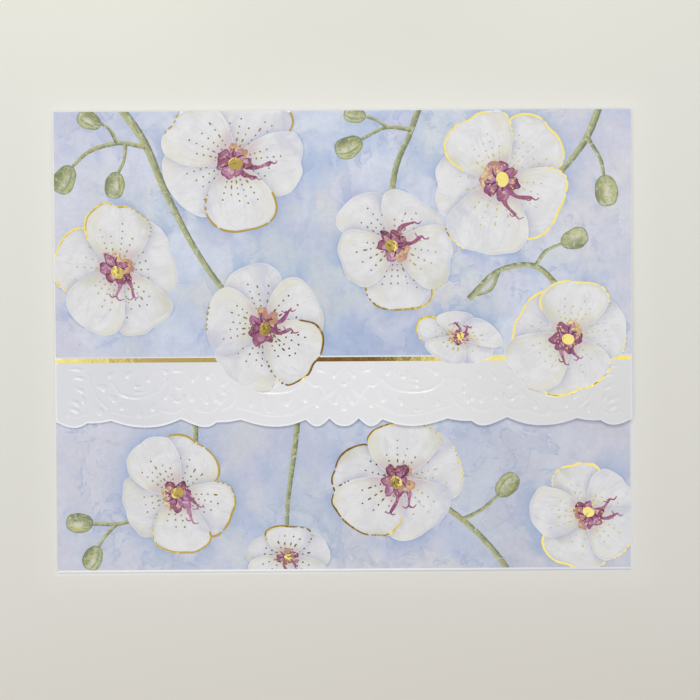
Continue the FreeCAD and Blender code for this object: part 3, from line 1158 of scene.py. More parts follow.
# walls along the cut edge, between the two faces' outlines
la, sa = boundary_loop(VA, FA)
lb, sb = boundary_loop(VB, FB)
walls = []
i = j = 0
na, nb = len(la), len(lb)
while i < na or j < nb:
    ta = sa[i + 1] if i + 1 < na else (1.0 if i < na else 2.0)
    tb = sb[j + 1] if j + 1 < nb else (1.0 if j < nb else 2.0)
    a, b = la[i % na], lb[j % nb] + len(VA)
    if i < na and (ta <= tb or j >= nb):
        a2 = la[(i + 1) % na]
        walls.append((a, b, a2))
        i += 1
    else:
        b2 = lb[(j + 1) % nb] + len(VA)
        walls.append((a, b, b2))
        j += 1
walls = np.array(walls)

verts = np.vstack([PA, PB])
faces = np.vstack([FA, FB[:, ::-1] + len(VA), walls])
mats = np.concatenate([matA, matB, np.full(len(walls), M_ID["edge"])])

# ---- the UV map: the printed faces large, the plain ones small -----------------------
def uv_of(V, F, face):
    X, Y = V[F][..., 0], V[F][..., 1]
    C = V[F].mean(1)
    u = (X + HALF_W) / (2 * HALF_W)
    uv = np.zeros(F.shape + (2,))
    pad = 0.004

    def put(mask, y0, y1, box):
        bx0, by0, bx1, by1 = box
        uv[mask, :, 0] = bx0 + pad + (bx1 - bx0 - 2 * pad) * u[mask]
        uv[mask, :, 1] = by0 + pad + (by1 - by0 - 2 * pad) * (Y[mask] - y0) / (y1 - y0)
    lo = HALF_H - FLAP_LEN
    if face == "A":
        m = C[:, 1] < FOLD_ROWS[-1]
        put(m, lo, FOLD_ROWS[-1], (0.0, 0.44, 1.0, 1.0))
        put(~m, FOLD_ROWS[-1], YU_END, (0.0, 0.0, 0.24, 0.145))
    else:
        m = C[:, 1] > band_split
        put(m, band_split, YU_END, (0.0, 0.15, 1.0, 0.435))
        m2 = (C[:, 1] <= band_split) & (C[:, 1] > FOLD_ROWS[-1])
        put(m2, FOLD_ROWS[-1], band_split, (0.25, 0.0, 0.49, 0.145))
        m3 = C[:, 1] <= FOLD_ROWS[-1]
        put(m3, lo, FOLD_ROWS[-1], (0.50, 0.0, 0.74, 0.145))
    return uv


uvA = uv_of(VA, FA, "A")
uvB = uv_of(VB, FB, "B")[:, ::-1]
param = np.concatenate([sa, sb])
p_of = np.zeros(len(verts))
p_of[la] = sa
p_of[lb + len(VA)] = sb
uvW = np.zeros((len(walls), 3, 2))
tv = p_of[walls]
wrap = (tv.max(1) - tv.min(1)) > 0.5
tv[wrap] = np.where(tv[wrap] < 0.5, 1.0, tv[wrap])
rows = 12
k = np.clip(np.floor(tv.mean(1) * rows), 0, rows - 1)
uvW[..., 0] = 0.76 + 0.23 * np.clip(tv * rows - k[:, None], 0, 1)
uvW[..., 1] = 0.006 + (k[:, None] + np.where(walls < len(VA), 0.8, 0.2)) * (0.136 / rows)

# ---- the mesh --------------------------------------------------------------------------
me = bpy.data.meshes.new("folded_sheet")
me.from_pydata((verts * 0.001).tolist(), [], faces.tolist())
me.polygons.foreach_set("material_index", mats.astype(np.int32))
me.polygons.foreach_set("use_smooth", np.ones(len(faces), bool))
nF = len(faces)


def corner(name, a, b, w=0.0):
    at = me.attributes.new(name, "FLOAT", "CORNER")
    vals = np.concatenate([a.reshape(-1), b[:, ::-1].reshape(-1), np.full(len(walls) * 3, w)])
    at.data.foreach_set("value", vals.astype(np.float32))


for key, w in (("pr", 0), ("pa", 0), ("rn", 0.5), ("pe", 9.0), ("ps", 0), ("dw", 12.0)):
    corner(key, dataA[key], dataB[key], w)
uvl = me.uv_layers.new(name="OFBake")
uvl.data.foreach_set("uv", np.concatenate([uvA.reshape(-1), uvB.reshape(-1), uvW.reshape(-1)]).astype(np.float32))

# normals: the relief's own on both faces, flat on the cut edge
wn = np.cross(verts[walls[:, 1]] - verts[walls[:, 0]], verts[walls[:, 2]] - verts[walls[:, 0]])
wn /= np.maximum(np.linalg.norm(wn, axis=1, keepdims=True), 1e-12)
allN = np.vstack([NA, NB])
loopN = np.vstack([NA[FA].reshape(-1, 3), NB[FB][:, ::-1].reshape(-1, 3), np.repeat(wn, 3, axis=0)])
me.validate(clean_customdata=False)
me.update()
if len(me.polygons) == nF:
    me.normals_split_custom_set(loopN.tolist())
card = bpy.data.objects.new("folded_card_printed", me)
bpy.context.scene.collection.objects.link(card)


# ---- materials ---------------------------------------------------------------------------
LIGHT = 0.88        # how bright a white surface stands in the light, so colours can be given as seen


def seen(r, g, b):
    out = []
    for c in (r, g, b):
        c = c / 255.0
        c = c / 12.92 if c <= 0.04045 else ((c + 0.055) / 1.055) ** 2.4
        out.append(min(c / LIGHT, 0.97))
    return tuple(out) + (1.0,)


class Net:
    def __init__(self, name):
        self.m = bpy.data.materials.new(name)
        self.m.use_nodes = True
        self.t = self.m.node_tree
        self.t.nodes.clear()
        self.out = self.t.nodes.new("ShaderNodeOutputMaterial")
        self.p = self.t.nodes.new("ShaderNodeBsdfPrincipled")
        self.t.links.new(self.p.outputs[0], self.out.inputs["Surface"])
        self.co = self.t.nodes.new("ShaderNodeTexCoord").outputs["Object"]

    def link(self, a, b):
        self.t.links.new(a, b)

    def val(self, sock, v):
        if isinstance(v, bpy.types.NodeSocket):
            self.link(v, sock)
        else:
            sock.default_value = v

    def attr(self, name):
        n = self.t.nodes.new("ShaderNodeAttribute")
        n.attribute_name = name
        return n.outputs["Fac"]

    def math(self, op, a, b=0.0, c=0.0, clamp=False):
        n = self.t.nodes.new("ShaderNodeMath")
        n.operation = op
        n.use_clamp = clamp
        self.val(n.inputs[0], a)
        self.val(n.inputs[1], b)
        self.val(n.inputs[2], c)
        return n.outputs[0]

    def noise(self, scale, detail=3.0, rough=0.55, dist=0.0, off=(0, 0, 0), co=None, squash=None):
        v = co if co is not None else self.co
        n = self.t.nodes.new("ShaderNodeMapping")
        n.inputs["Location"].default_value = off
        if squash:
            n.inputs["Scale"].default_value = squash
        self.link(v, n.inputs["Vector"])
        t = self.t.nodes.new("ShaderNodeTexNoise")
        t.inputs["Scale"].default_value = scale
        t.inputs["Detail"].default_value = detail
        t.inputs["Roughness"].default_value = rough
        t.inputs["Distortion"].default_value = dist
        self.link(n.outputs[0], t.inputs["Vector"])
        return t.outputs["Fac"]

    def span(self, x, a, b, c=0.0, d=1.0, ease=True):
        n = self.t.nodes.new("ShaderNodeMapRange")
        n.interpolation_type = "SMOOTHSTEP" if ease else "LINEAR"
        self.val(n.inputs["Value"], x)
        n.inputs["From Min"].default_value = a
        n.inputs["From Max"].default_value = b
        n.inputs["To Min"].default_value = c
        n.inputs["To Max"].default_value = d
        return n.outputs["Result"]

    def mix(self, a, b, f, mode="MIX"):
        n = self.t.nodes.new("ShaderNodeMix")
        n.data_type = "RGBA"
        n.blend_type = mode
        self.val(n.inputs["Factor"], f)
        self.val(n.inputs[6], a)
        self.val(n.inputs[7], b)
        return n.outputs[2]

    def scale(self, col, f):
        """Colour times a number."""
        n = self.t.nodes.new("ShaderNodeVectorMath")
        n.operation = "SCALE"
        self.val(n.inputs[0], col)
        self.val(n.inputs["Scale"], f)
        return n.outputs[0]

    def bump(self, height, strength, dist):
        n = self.t.nodes.new("ShaderNodeBump")
        n.inputs["Strength"].default_value = strength
        n.inputs["Distance"].default_value = dist
        self.link(height, n.inputs["Height"])
        self.link(n.outputs[0], self.p.inputs["Normal"])
        return n

    def paper(self, rough=0.48, strength=0.25, fibre=True):
        """Finish that all the stock has: fine tooth in the surface and in the gloss."""
        tooth = self.noise(2400, 3, 0.6)
        broad = self.noise(420, 2, 0.5, off=(0.3, 0.1, 0))
        h = self.math("ADD", self.math("MULTIPLY", tooth, 0.6), self.math("MULTIPLY", broad, 0.5))
        self.bump(h, strength, 0.00006)
        self.link(self.span(broad, 0.3, 0.7, rough - 0.04, rough + 0.05), self.p.inputs["Roughness"])
        self.p.inputs["Specular IOR Level"].default_value = 0.42
        return tooth, broad


def grain(n, col, amount=0.05):
    """Pigment that settles in the paper's tooth."""
    a = n.noise(1500, 3, 0.65, off=(0.2, 0.7, 0.1))
    b = n.noise(520, 4, 0.7, 0.6, off=(0.5, 0.1, 0.4))
    f = n.math("ADD", n.math("MULTIPLY", n.math("SUBTRACT", a, 0.5), amount * 2.0), n.math("MULTIPLY", n.math("SUBTRACT", b, 0.5), amount * 2.2))
    return n.scale(col, n.math("ADD", f, 1.0))


def make_stock():
    n = Net("card_stock")
    c = n.mix(seen(219, 220, 224), seen(214, 216, 221), n.span(n.noise(90, 3), 0.35, 0.65))
    n.link(grain(n, c, 0.010), n.p.inputs["Base Color"])
    n.paper(0.50, 0.25)
    return n.m


def make_band():
    n = Net("card_white_band")
    sx = n.t.nodes.new("ShaderNodeSeparateXYZ")
    n.link(n.co, sx.inputs[0])
    x = sx.outputs[0]
    # Painted light: the band is darker at its far left, lightest from left of the middle to the middle, and greyer
    # towards the right, following how the light falls across the card.
    c = n.mix(seen(215, 216, 221), seen(226, 226, 228), n.span(x, -0.049, -0.022))
    c = n.mix(c, seen(213, 213, 213), n.span(x, 0.004, 0.050))
    c = n.scale(c, n.span(n.noise(60, 3, 0.5, 0.3), 0.35, 0.65, 0.985, 1.012))
    n.link(grain(n, c, 0.006), n.p.inputs["Base Color"])
    n.paper(0.22, 0.12)
    n.p.inputs["Specular IOR Level"].default_value = 0.62
    return n.m


def make_edge_painted_light():
    n = Net("card_cut_edge_painted_light")
    sx = n.t.nodes.new("ShaderNodeSeparateXYZ")
    n.link(n.co, sx.inputs[0])
    # Painted light: bare white stock brightened into a painted highlight along the rims, turning darker towards the
    # right as painted shade.
    c = n.mix(seen(233, 235, 246), seen(216, 218, 228), n.span(sx.outputs[0], 0.005, 0.050))
    c = n.scale(c, n.span(n.noise(700, 3), 0.35, 0.65, 0.985, 1.015))
    n.link(c, n.p.inputs["Base Color"])
    n.paper(0.55, 0.2)
    return n.m


def dried(n, c, src, level, width, amount, colour):
    """The edge where a wet patch dried: a line that is sharp on one side."""
    d = n.math("SUBTRACT", src, level)
    line = n.math("MULTIPLY", n.span(d, 0.0, width, 1.0, 0.0), n.math("GREATER_THAN", d, 0.0))
    return n.mix(c, seen(*colour), n.math("MULTIPLY", line, amount))


def make_wash():
    n = Net("print_watercolour_wash")
    big = n.noise(34, 3, 0.5, 0.6, off=(0.31, 0.12, 0.0))
    lav = n.noise(41, 3, 0.5, 0.5, off=(1.7, 3.1, 0.4))
    grn = n.noise(47, 3, 0.5, 0.7, off=(4.3, 0.7, 1.1))
    bei = n.noise(38, 3, 0.5, 0.5, off=(2.9, 6.1, 0.7))
    med = n.noise(95, 4, 0.55, 1.0, off=(0.9, 5.2, 0.2))
    med2 = n.noise(150, 4, 0.55, 1.0, off=(7.9, 2.2, 0.5))
    pull = n.noise(120, 4, 0.6, 0.5, off=(5.1, 1.4, 0.9), squash=(1.7, 0.6, 1.0))
    fine = n.noise(330, 4, 0.62, 1.2, off=(3.3, 1.2, 0.5))
    tooth = n.noise(1150, 2, 0.55, 0.4, off=(6.6, 2.7, 0.3))
    dn = n.attr("dw")
    sx = n.t.nodes.new("ShaderNodeSeparateXYZ")
    n.link(n.co, sx.inputs[0])
    x, y = sx.outputs[0], sx.outputs[1]
    c = n.mix(seen(176, 190, 217), seen(209, 215, 227), n.span(big, 0.38, 0.62))
    c = n.mix(c, seen(203, 201, 217), n.span(lav, 0.44, 0.60, 0, 0.85))
    c = n.mix(c, seen(203, 210, 212), n.span(grn, 0.51, 0.64, 0, 0.75))
    c = n.mix(c, seen(213, 211, 210), n.span(bei, 0.52, 0.66, 0, 0.80))
    c = n.mix(c, seen(164, 181, 212), n.span(med, 0.50, 0.68, 0, 0.46))
    c = n.mix(c, seen(216, 218, 225), n.span(med, 0.46, 0.30, 0, 0.34))
    c = n.mix(c, seen(174, 186, 209), n.span(pull, 0.50, 0.66, 0, 0.38))
    c = n.mix(c, seen(217, 218, 222), n.span(pull, 0.46, 0.32, 0, 0.30))
    # lavender towards both sides, greyer over the lower strip
    side = n.span(n.math("ABSOLUTE", x), 0.030, 0.060)
    c = n.mix(c, seen(203, 201, 214), n.math("MULTIPLY", side, n.span(med2, 0.35, 0.60, 0.30, 0.65)))
    low = n.span(y, -0.016, -0.020)
    lowc = n.mix(seen(203, 204, 215), seen(189, 190, 200), n.span(x, -0.045, 0.010))
    c = n.mix(c, lowc, n.math("MULTIPLY", n.math("MULTIPLY", low, n.span(n.math("ABSOLUTE", x), 0.012, 0.042, 0.30, 1)), n.span(med2, 0.35, 0.65, 0.45, 0.75)))
    ux, uy = n.math("MULTIPLY", n.math("ADD", x, 0.006), 19.0), n.math("MULTIPLY", n.math("ADD", y, 0.004), 25.0)
    ring = n.math("SQRT", n.math("ADD", n.math("MULTIPLY", ux, ux), n.math("MULTIPLY", uy, uy)))
    ring = n.math("ADD", ring, n.math("MULTIPLY", n.math("SUBTRACT", med, 0.5), 1.6))
    c = n.mix(c, n.mix(c, seen(196, 208, 226), 1.0, "MULTIPLY"), n.span(ring, 1.10, 0.25, 0, 0.34))
    # colour pooled beside the shapes
    reach = n.math("POWER", 2.718, n.math("MULTIPLY", dn, -0.42))
    pool = n.math("MULTIPLY", reach, n.span(n.math("ADD", n.math("MULTIPLY", lav, 0.5), n.math("MULTIPLY", med, 0.5)), 0.45, 0.56, 0.0, 1.0))
    c = n.mix(c, seen(148, 170, 205), n.math("MULTIPLY", pool, 0.74))
    line = n.math("MULTIPLY", n.span(dn, 0.60, 0.12, 0, 1), n.span(med2, 0.44, 0.60, 0, 1))
    c = n.mix(c, seen(146, 162, 192), n.math("MULTIPLY", line, 0.50))
    # a few jagged edges where a wet patch dried
    rag = n.math("MULTIPLY", n.math("SUBTRACT", n.noise(1300, 3, 0.7, 0.6, off=(1.1, 4.4, 0.2)), 0.5), 0.040)
    few = n.span(n.noise(52, 2, 0.5, 0.3, off=(8.8, 3.6, 0.4)), 0.50, 0.57)
    few2 = n.span(n.noise(44, 2, 0.5, 0.3, off=(2.2, 9.1, 0.8)), 0.52, 0.58)
    c = dried(n, c, n.math("ADD", med, rag), 0.520, 0.085, n.math("MULTIPLY", few, n.span(fine, 0.40, 0.62, 0.12, 0.62)), (152, 169, 200))
    c = dried(n, c, n.math("ADD", med2, rag), 0.540, 0.075, n.math("MULTIPLY", few2, n.span(fine, 0.60, 0.40, 0.08, 0.55)), (158, 171, 198))
    c = n.scale(c, n.span(fine, 0.25, 0.75, 0.965, 1.032))
    c = n.scale(c, n.span(tooth, 0.22, 0.78, 0.955, 1.045, False))
    n.link(grain(n, c, 0.016), n.p.inputs["Base Color"])
    n.paper(0.46, 0.22)
    return n.m


def make_petal():
    n = Net("print_white_petal")
    pr, pa, pe, ps, rn = (n.attr(k) for k in ("pr", "pa", "pe", "ps", "rn"))
    off = n.t.nodes.new("ShaderNodeCombineXYZ")
    n.link(n.math("MULTIPLY", rn, 7.0), off.inputs[0])
    n.link(n.math("MULTIPLY", rn, 3.0), off.inputs[1])
    vec = n.t.nodes.new("ShaderNodeVectorMath")
    n.link(n.co, vec.inputs[0])
    n.link(off.outputs[0], vec.inputs[1])
    co = vec.outputs[0]
    cloud = n.noise(170, 4, 0.6, 1.0, co=co)
    soft = n.noise(85, 3, 0.5, 0.5, co=co, off=(2.0, 0.4, 0))
    # brush strokes that run from the heart to the rim
    st = n.t.nodes.new("ShaderNodeCombineXYZ")
    n.link(n.math("MULTIPLY", pr, 1.6), st.inputs[0])
    n.link(n.math("MULTIPLY", pa, 3.4), st.inputs[1])
    n.link(n.math("MULTIPLY", rn, 40.0), st.inputs[2])
    stroke = n.noise(2.3, 4, 0.62, 0.4, co=st.outputs[0])
    fine = n.noise(520, 4, 0.65, 0.8, co=co)
    cool = n.math("SUBTRACT", 1.0, n.span(rn, 0.42, 0.60))
    c = n.mix(seen(223, 223, 224), seen(215, 215, 217), n.span(cloud, 0.38, 0.62))
    c = n.mix(c, seen(203, 204, 211), n.span(stroke, 0.52, 0.70, 0, 0.62))
    # one flank of the petal turns to shade, lavender in some flowers and olive in others
    sign = n.math("SUBTRACT", n.math("MULTIPLY", n.math("GREATER_THAN", n.math("FRACT", n.math("MULTIPLY", rn, 13.0)), 0.5), 2.0), 1.0)
    flank_ = n.math("MULTIPLY", pa, sign)
    flank = n.span(n.math("ADD", flank_, n.math("MULTIPLY", n.math("SUBTRACT", soft, 0.5), 2.6)), 0.38, 1.15, 0, 0.90)
    tone = n.mix(seen(200, 199, 182), seen(193, 195, 208), cool)
    c = n.mix(c, tone, n.math("MULTIPLY", flank, n.span(cloud, 0.30, 0.60, 0.25, 0.95)))
    lit = n.span(n.math("ADD", n.math("MULTIPLY", flank_, -1.0), n.math("MULTIPLY", n.math("SUBTRACT", cloud, 0.5), 2.4)), 0.40, 1.1, 0, 0.75)
    tone2 = n.mix(seen(219, 216, 196), seen(221, 219, 206), cool)
    c = n.mix(c, tone2, lit)
    # towards the heart
    base = n.span(n.math("ADD", pr, n.math("MULTIPLY", n.math("SUBTRACT", stroke, 0.5), 0.55)), 0.50, 0.10, 0, 1)
    c = n.mix(c, seen(206, 205, 178), n.math("MULTIPLY", base, 0.72))
    blush = n.span(n.math("ADD", pr, n.math("MULTIPLY", n.math("SUBTRACT", soft, 0.5), 0.5)), 0.34, 0.14, 0, 1)
    c = n.mix(c, seen(196, 168, 190), n.math("MULTIPLY", blush, 0.55))
    # veins
    wave = n.math("SINE", n.math("ADD", n.math("MULTIPLY", pa, 19.0), n.math("MULTIPLY", n.math("SUBTRACT", cloud, 0.5), 7.0)))
    vein = n.math("MULTIPLY", n.span(wave, 0.82, 1.0, 0, 1), n.span(pr, 0.92, 0.35, 0, 1))
    c = n.mix(c, seen(198, 197, 206), n.math("MULTIPLY", vein, 0.30))
    # shade under the petal that laps this one
    c = n.mix(c, seen(170, 173, 194), n.math("MULTIPLY", ps, n.span(cloud, 0.25, 0.6, 0.35, 0.80)))
    # thin dry line inside the rim, broken, then bare paper
    rim = n.math("MULTIPLY", n.span(pe, 0.16, 0.34, 0, 1), n.span(pe, 0.80, 0.36, 0, 1))
    c = n.mix(c, seen(196, 197, 209), n.math("MULTIPLY", rim, n.span(soft, 0.44, 0.62, 0.0, 0.60)))
    c = n.mix(n.mix(seen(228, 229, 231), seen(198, 201, 210), n.span(soft, 0.46, 0.60)), c, n.span(pe, 0.03, 0.22, 0.25, 1))
    c = n.scale(c, n.span(fine, 0.25, 0.75, 0.972, 1.024))
    n.link(grain(n, c, 0.010), n.p.inputs["Base Color"])
    n.paper(0.44, 0.16)
    return n.m


def make_paint(name, a, b, d, scale=260, amount=0.05, rough=0.46, light=None):
    n = Net(name)
    rn = n.attr("rn")
    m = n.noise(scale, 4, 0.65, 1.0)
    m2 = n.noise(scale * 2.7, 3, 0.6, 0.5, off=(0.4, 0.2, 0))
    c = n.mix(seen(*a), seen(*b), n.span(n.math("ADD", m, n.math("MULTIPLY", n.math("SUBTRACT", rn, 0.5), 0.35)), 0.36, 0.64))
    c = n.mix(c, seen(*d), n.span(m2, 0.55, 0.72, 0, 0.8))
    if light:
        c = n.mix(c, seen(*light), n.span(m2, 0.42, 0.28, 0, 0.7))
    n.link(grain(n, c, amount), n.p.inputs["Base Color"])
    n.paper(rough, 0.18)
    return n.m


def make_heart(name, pale, body, deep, warm=None):
    """Wet paint in the middle of a blossom: blended tones, pale gaps and a darker dried rim."""
    n = Net(name)
    rn, pe, pr = n.attr("rn"), n.attr("pe"), n.attr("pr")
    m = n.noise(230, 4, 0.6, 1.2)
    m2 = n.noise(620, 5, 0.7, 1.6, off=(0.4, 0.2, 0))
    m3 = n.noise(430, 3, 0.6, 2.2, off=(2.4, 1.2, 0))
    t = n.math("ADD", m, n.math("MULTIPLY", n.math("SUBTRACT", rn, 0.5), 0.30))
    c = n.mix(seen(*pale), seen(*body), n.span(t, 0.34, 0.50))
    c = n.mix(c, seen(*deep), n.span(t, 0.50, 0.66, 0, 0.95))
    c = n.mix(c, seen(*pale), n.span(m2, 0.44, 0.30, 0, 0.75))
    c = n.mix(c, seen(*deep), n.span(m2, 0.56, 0.70, 0, 0.70))
    if warm:
        c = n.mix(c, seen(*warm), n.span(n.math("ADD", m3, n.math("MULTIPLY", rn, 0.1)), 0.52, 0.62, 0, 0.85))
    gap = n.math("MULTIPLY", n.span(n.math("ABSOLUTE", n.math("SUBTRACT", m3, 0.49)), 0.016, 0.004, 0, 1), n.span(m, 0.40, 0.55, 1, 0.15))
    c = n.mix(c, seen(216, 194, 208), n.math("MULTIPLY", gap, 0.60))
    c = n.mix(c, seen(*deep), n.math("MULTIPLY", n.math("MULTIPLY", n.span(pe, 0.02, 0.10, 0, 1), n.span(pe, 0.42, 0.14, 0, 1)), n.span(m2, 0.35, 0.6, 0.15, 0.65)))
    n.link(grain(n, c, 0.04), n.p.inputs["Base Color"])
    n.paper(0.46, 0.2)
    return n.m


def make_green(name, bud_like):
    n = Net(name)
    pr, pa, pe, rn = (n.attr(k) for k in ("pr", "pa", "pe", "rn"))
    m = n.noise(260, 4, 0.65, 0.9)
    m2 = n.noise(700, 3, 0.6, 0.4, off=(0.4, 0.2, 0))
    c = n.mix(seen(166, 170, 136), seen(142, 152, 120), n.span(n.math("ADD", m, n.math("MULTIPLY", n.math("SUBTRACT", rn, 0.5), 0.4)), 0.36, 0.64))
    st = n.t.nodes.new("ShaderNodeCombineXYZ")
    n.link(n.math("MULTIPLY", pr, 7.0), st.inputs[0])
    n.link(n.math("MULTIPLY", pa, 1.3), st.inputs[1])
    n.link(n.math("MULTIPLY", rn, 30.0), st.inputs[2])
    streak = n.noise(1.6, 4, 0.65, 0.5, co=st.outputs[0])
    c = n.mix(c, seen(204, 207, 170), n.span(streak, 0.53, 0.64, 0, 0.75))
    c = n.mix(c, seen(114, 122, 80), n.span(streak, 0.45, 0.34, 0, 0.55))
    # lit flank, shaded flank
    lit = n.span(n.math("ADD", pa, n.math("MULTIPLY", n.math("SUBTRACT", m, 0.5), 1.4)), -0.1, 0.75, 0, 1)
    dark = n.span(n.math("ADD", pa, n.math("MULTIPLY", n.math("SUBTRACT", m, 0.5), 1.2)), -0.20, -0.90, 0, 1)
    c = n.mix(c, seen(186, 190, 136), n.math("MULTIPLY", lit, 0.75))
    c = n.mix(c, seen(108, 118, 78), n.math("MULTIPLY", dark, 0.80))
    c = n.mix(c, seen(196, 203, 178), n.span(m2, 0.57, 0.68, 0, 0.75))
    c = n.mix(c, seen(116, 128, 100), n.span(m2, 0.43, 0.33, 0, 0.50))
    if not bud_like:
        c = n.mix(c, seen(106, 108, 84), n.math("MULTIPLY", n.math("MULTIPLY", n.span(pe, 0.02, 0.10, 0, 1), n.span(pe, 0.34, 0.14, 0, 1)), n.math("MULTIPLY", n.span(pa, 0.3, -0.4, 0.25, 1), n.span(streak, 0.36, 0.58, 0.35, 0.75))))
        c = n.mix(c, seen(174, 162, 112), n.span(n.noise(420, 3, 0.6, 0.8, off=(3.1, 0.6, 0)), 0.54, 0.64, 0, 0.6))
        c = n.mix(c, seen(206, 208, 186), n.span(n.noise(640, 4, 0.65, 0.8, off=(1.3, 2.6, 0)), 0.57, 0.67, 0, 0.65))
    if bud_like:
        st2 = n.t.nodes.new("ShaderNodeCombineXYZ")
        n.link(n.math("MULTIPLY", pr, 2.6), st2.inputs[0])
        n.link(n.math("MULTIPLY", pa, 3.0), st2.inputs[1])
        n.link(n.math("MULTIPLY", rn, 17.0), st2.inputs[2])
        strk = n.noise(1.5, 4, 0.65, 0.8, co=st2.outputs[0])
        c = n.mix(c, seen(186, 176, 92), n.span(strk, 0.52, 0.62, 0, 0.72))
        c = n.mix(c, seen(104, 122, 84), n.span(strk, 0.46, 0.36, 0, 0.70))
        # a light bloom over the middle, a pale tip and a thin dark line round it
        mid = n.math("MULTIPLY", n.span(n.math("ABSOLUTE", n.math("SUBTRACT", pa, 0.22)), 0.55, 0.05, 0, 1), n.span(n.math("ABSOLUTE", n.math("SUBTRACT", pr, 0.55)), 0.42, 0.05, 0, 1))
        c = n.mix(c, seen(212, 214, 190), n.math("MULTIPLY", mid, n.span(m, 0.35, 0.6, 0.25, 0.85)))
        c = n.mix(c, seen(206, 204, 176), n.math("MULTIPLY", n.span(n.math("ADD", pr, n.math("MULTIPLY", n.math("SUBTRACT", m, 0.5), 0.6)), 0.74, 1.02, 0, 1), 0.60))
        c = n.mix(seen(112, 128, 100), c, n.span(n.math("ADD", pe, n.math("MULTIPLY", n.math("SUBTRACT", m2, 0.5), 0.5)), 0.05, 0.40, 0.25, 1))
    n.link(grain(n, c, 0.03), n.p.inputs["Base Color"])
    n.paper(0.46, 0.2)
    return n.m


def make_foil():
    n = Net("gold_foil")
    m = n.noise(900, 3, 0.6, 0.3)
    c = n.mix((0.98, 0.85, 0.275, 1), (0.95, 0.79, 0.235, 1), n.span(m, 0.35, 0.65))
    c = n.mix(c, (0.62, 0.57, 0.27, 1), n.math("LESS_THAN", n.attr("rn"), -0.5))
    n.link(c, n.p.inputs["Base Color"])
    n.p.inputs["Metallic"].default_value = 1.0
    n.link(n.span(m, 0.3, 0.7, 0.07, 0.12), n.p.inputs["Roughness"])
    b1 = n.noise(420, 2, 0.5, 0.2, off=(0.1, 0.3, 0))
    b2 = n.noise(1800, 3, 0.6)
    h = n.math("ADD", n.math("MULTIPLY", b1, 1.0), n.math("MULTIPLY", b2, 0.10))
    n.bump(h, 0.35, 0.00009)
    return n.m


for m in (make_stock(), make_edge_painted_light(), make_wash(), make_petal(),
          make_heart("print_magenta", (178, 126, 160), (142, 70, 118), (98, 38, 82), (154, 92, 104)),
          make_paint("print_plum", (112, 48, 86), (92, 36, 70), (74, 28, 56), 300, 0.05),
          make_green("print_stem", False), make_green("print_bud", True), make_foil(), make_band(),
          make_heart("print_yolk", (222, 206, 164), (206, 172, 118), (178, 124, 100), (172, 118, 138)),
          make_heart("print_blush", (206, 168, 190), (170, 112, 146), (132, 68, 108), (188, 142, 132))):
    me.materials.append(m)

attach(card, "root")
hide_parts("folded_card")

# ---- floor, light, camera -------------------------------------------------------------------
FLOOR_A, FLOOR_B = (0.806, 0.806, 0.718, 1), (0.776, 0.744, 0.672, 1)
FLOOR_PAINTED_GLOW = (0.93, 0.93, 0.90, 1)
fm = Net("floor_pale")
sep = fm.t.nodes.new("ShaderNodeSeparateXYZ")
fm.link(fm.co, sep.inputs[0])
# Painted light: the floor is lighter towards the top and left and darker towards the bottom and right, as the light
# falls off across it.
far = fm.math("ADD", fm.math("MULTIPLY", sep.outputs[1], -6.0), fm.math("MULTIPLY", sep.outputs[0], 1.4))
far = fm.math("ADD", far, fm.math("MULTIPLY", fm.math("SUBTRACT", fm.noise(9.0, 2), 0.5), 0.25))
cc = fm.mix(FLOOR_A, FLOOR_B, fm.span(far, -0.5, 0.5, 0, 1, False))
shade = fm.math("SUBTRACT", 1.0, fm.math("MULTIPLY", sep.outputs[0], 0.31))
shade = fm.math("ADD", shade, fm.math("MULTIPLY", sep.outputs[1], 0.50))
# a painted shadow: the floor is a little darker over its top middle
painted_shadow_top = fm.math("MULTIPLY", fm.span(fm.math("ABSOLUTE", sep.outputs[0]), 0.010, 0.052, 1, 0), fm.span(sep.outputs[1], 0.052, 0.070, 0, 1))
shade = fm.math("SUBTRACT", shade, fm.math("MULTIPLY", painted_shadow_top, 0.052))
cc = fm.scale(cc, shade)
# painted light: the floor is lighter and a little bluer round the sheet, and lighter still right beside its edges, most
# under the lower edge towards the left, which offsets the sheet's contact shadow
ex = fm.math("MAXIMUM", fm.math("SUBTRACT", fm.math("ABSOLUTE", sep.outputs[0]), 0.0635), 0.0)
ey = fm.math("MAXIMUM", fm.math("SUBTRACT", fm.math("ABSOLUTE", sep.outputs[1]), 0.0508), 0.0)
ed = fm.math("SQRT", fm.math("ADD", fm.math("MULTIPLY", ex, ex), fm.math("MULTIPLY", ey, ey)))
below = fm.math("MULTIPLY", fm.span(sep.outputs[1], -0.0504, -0.0510, 0, 1), fm.span(sep.outputs[0], -0.02, 0.025, 0.42, 0.0))
painted_glow_at_edge = fm.math("ADD", below, 0.08)
cc = fm.mix(cc, (0.800, 0.812, 0.812, 1), fm.math("MULTIPLY", fm.span(ed, 0.0, 0.034, 0.55, 0.0), fm.span(ex, 0.0, 0.024, 0.40, 1.0)))
cc = fm.mix(cc, FLOOR_PAINTED_GLOW, fm.math("ADD", fm.span(ed, 0.0, 0.0085, 0.17, 0.0), fm.math("MULTIPLY", fm.span(ed, 0.0002, 0.0011, 1.0, 0.0), painted_glow_at_edge), 0.0, True))
fm.link(cc, fm.p.inputs["Base Color"])
fm.p.inputs["Roughness"].default_value = 0.42
fm.p.inputs["Specular IOR Level"].default_value = 0.25
fme = bpy.data.meshes.new("floor")
S = 3.0
fme.from_pydata([(-S, -S, 0), (S, -S, 0), (S, S, 0), (-S, S, 0)], [], [(0, 1, 2, 3)])
floor = bpy.data.objects.new("floor", fme)
floor.location = (0, 0, -0.00002)
fme.materials.append(fm.m)
bpy.context.scene.collection.objects.link(floor)

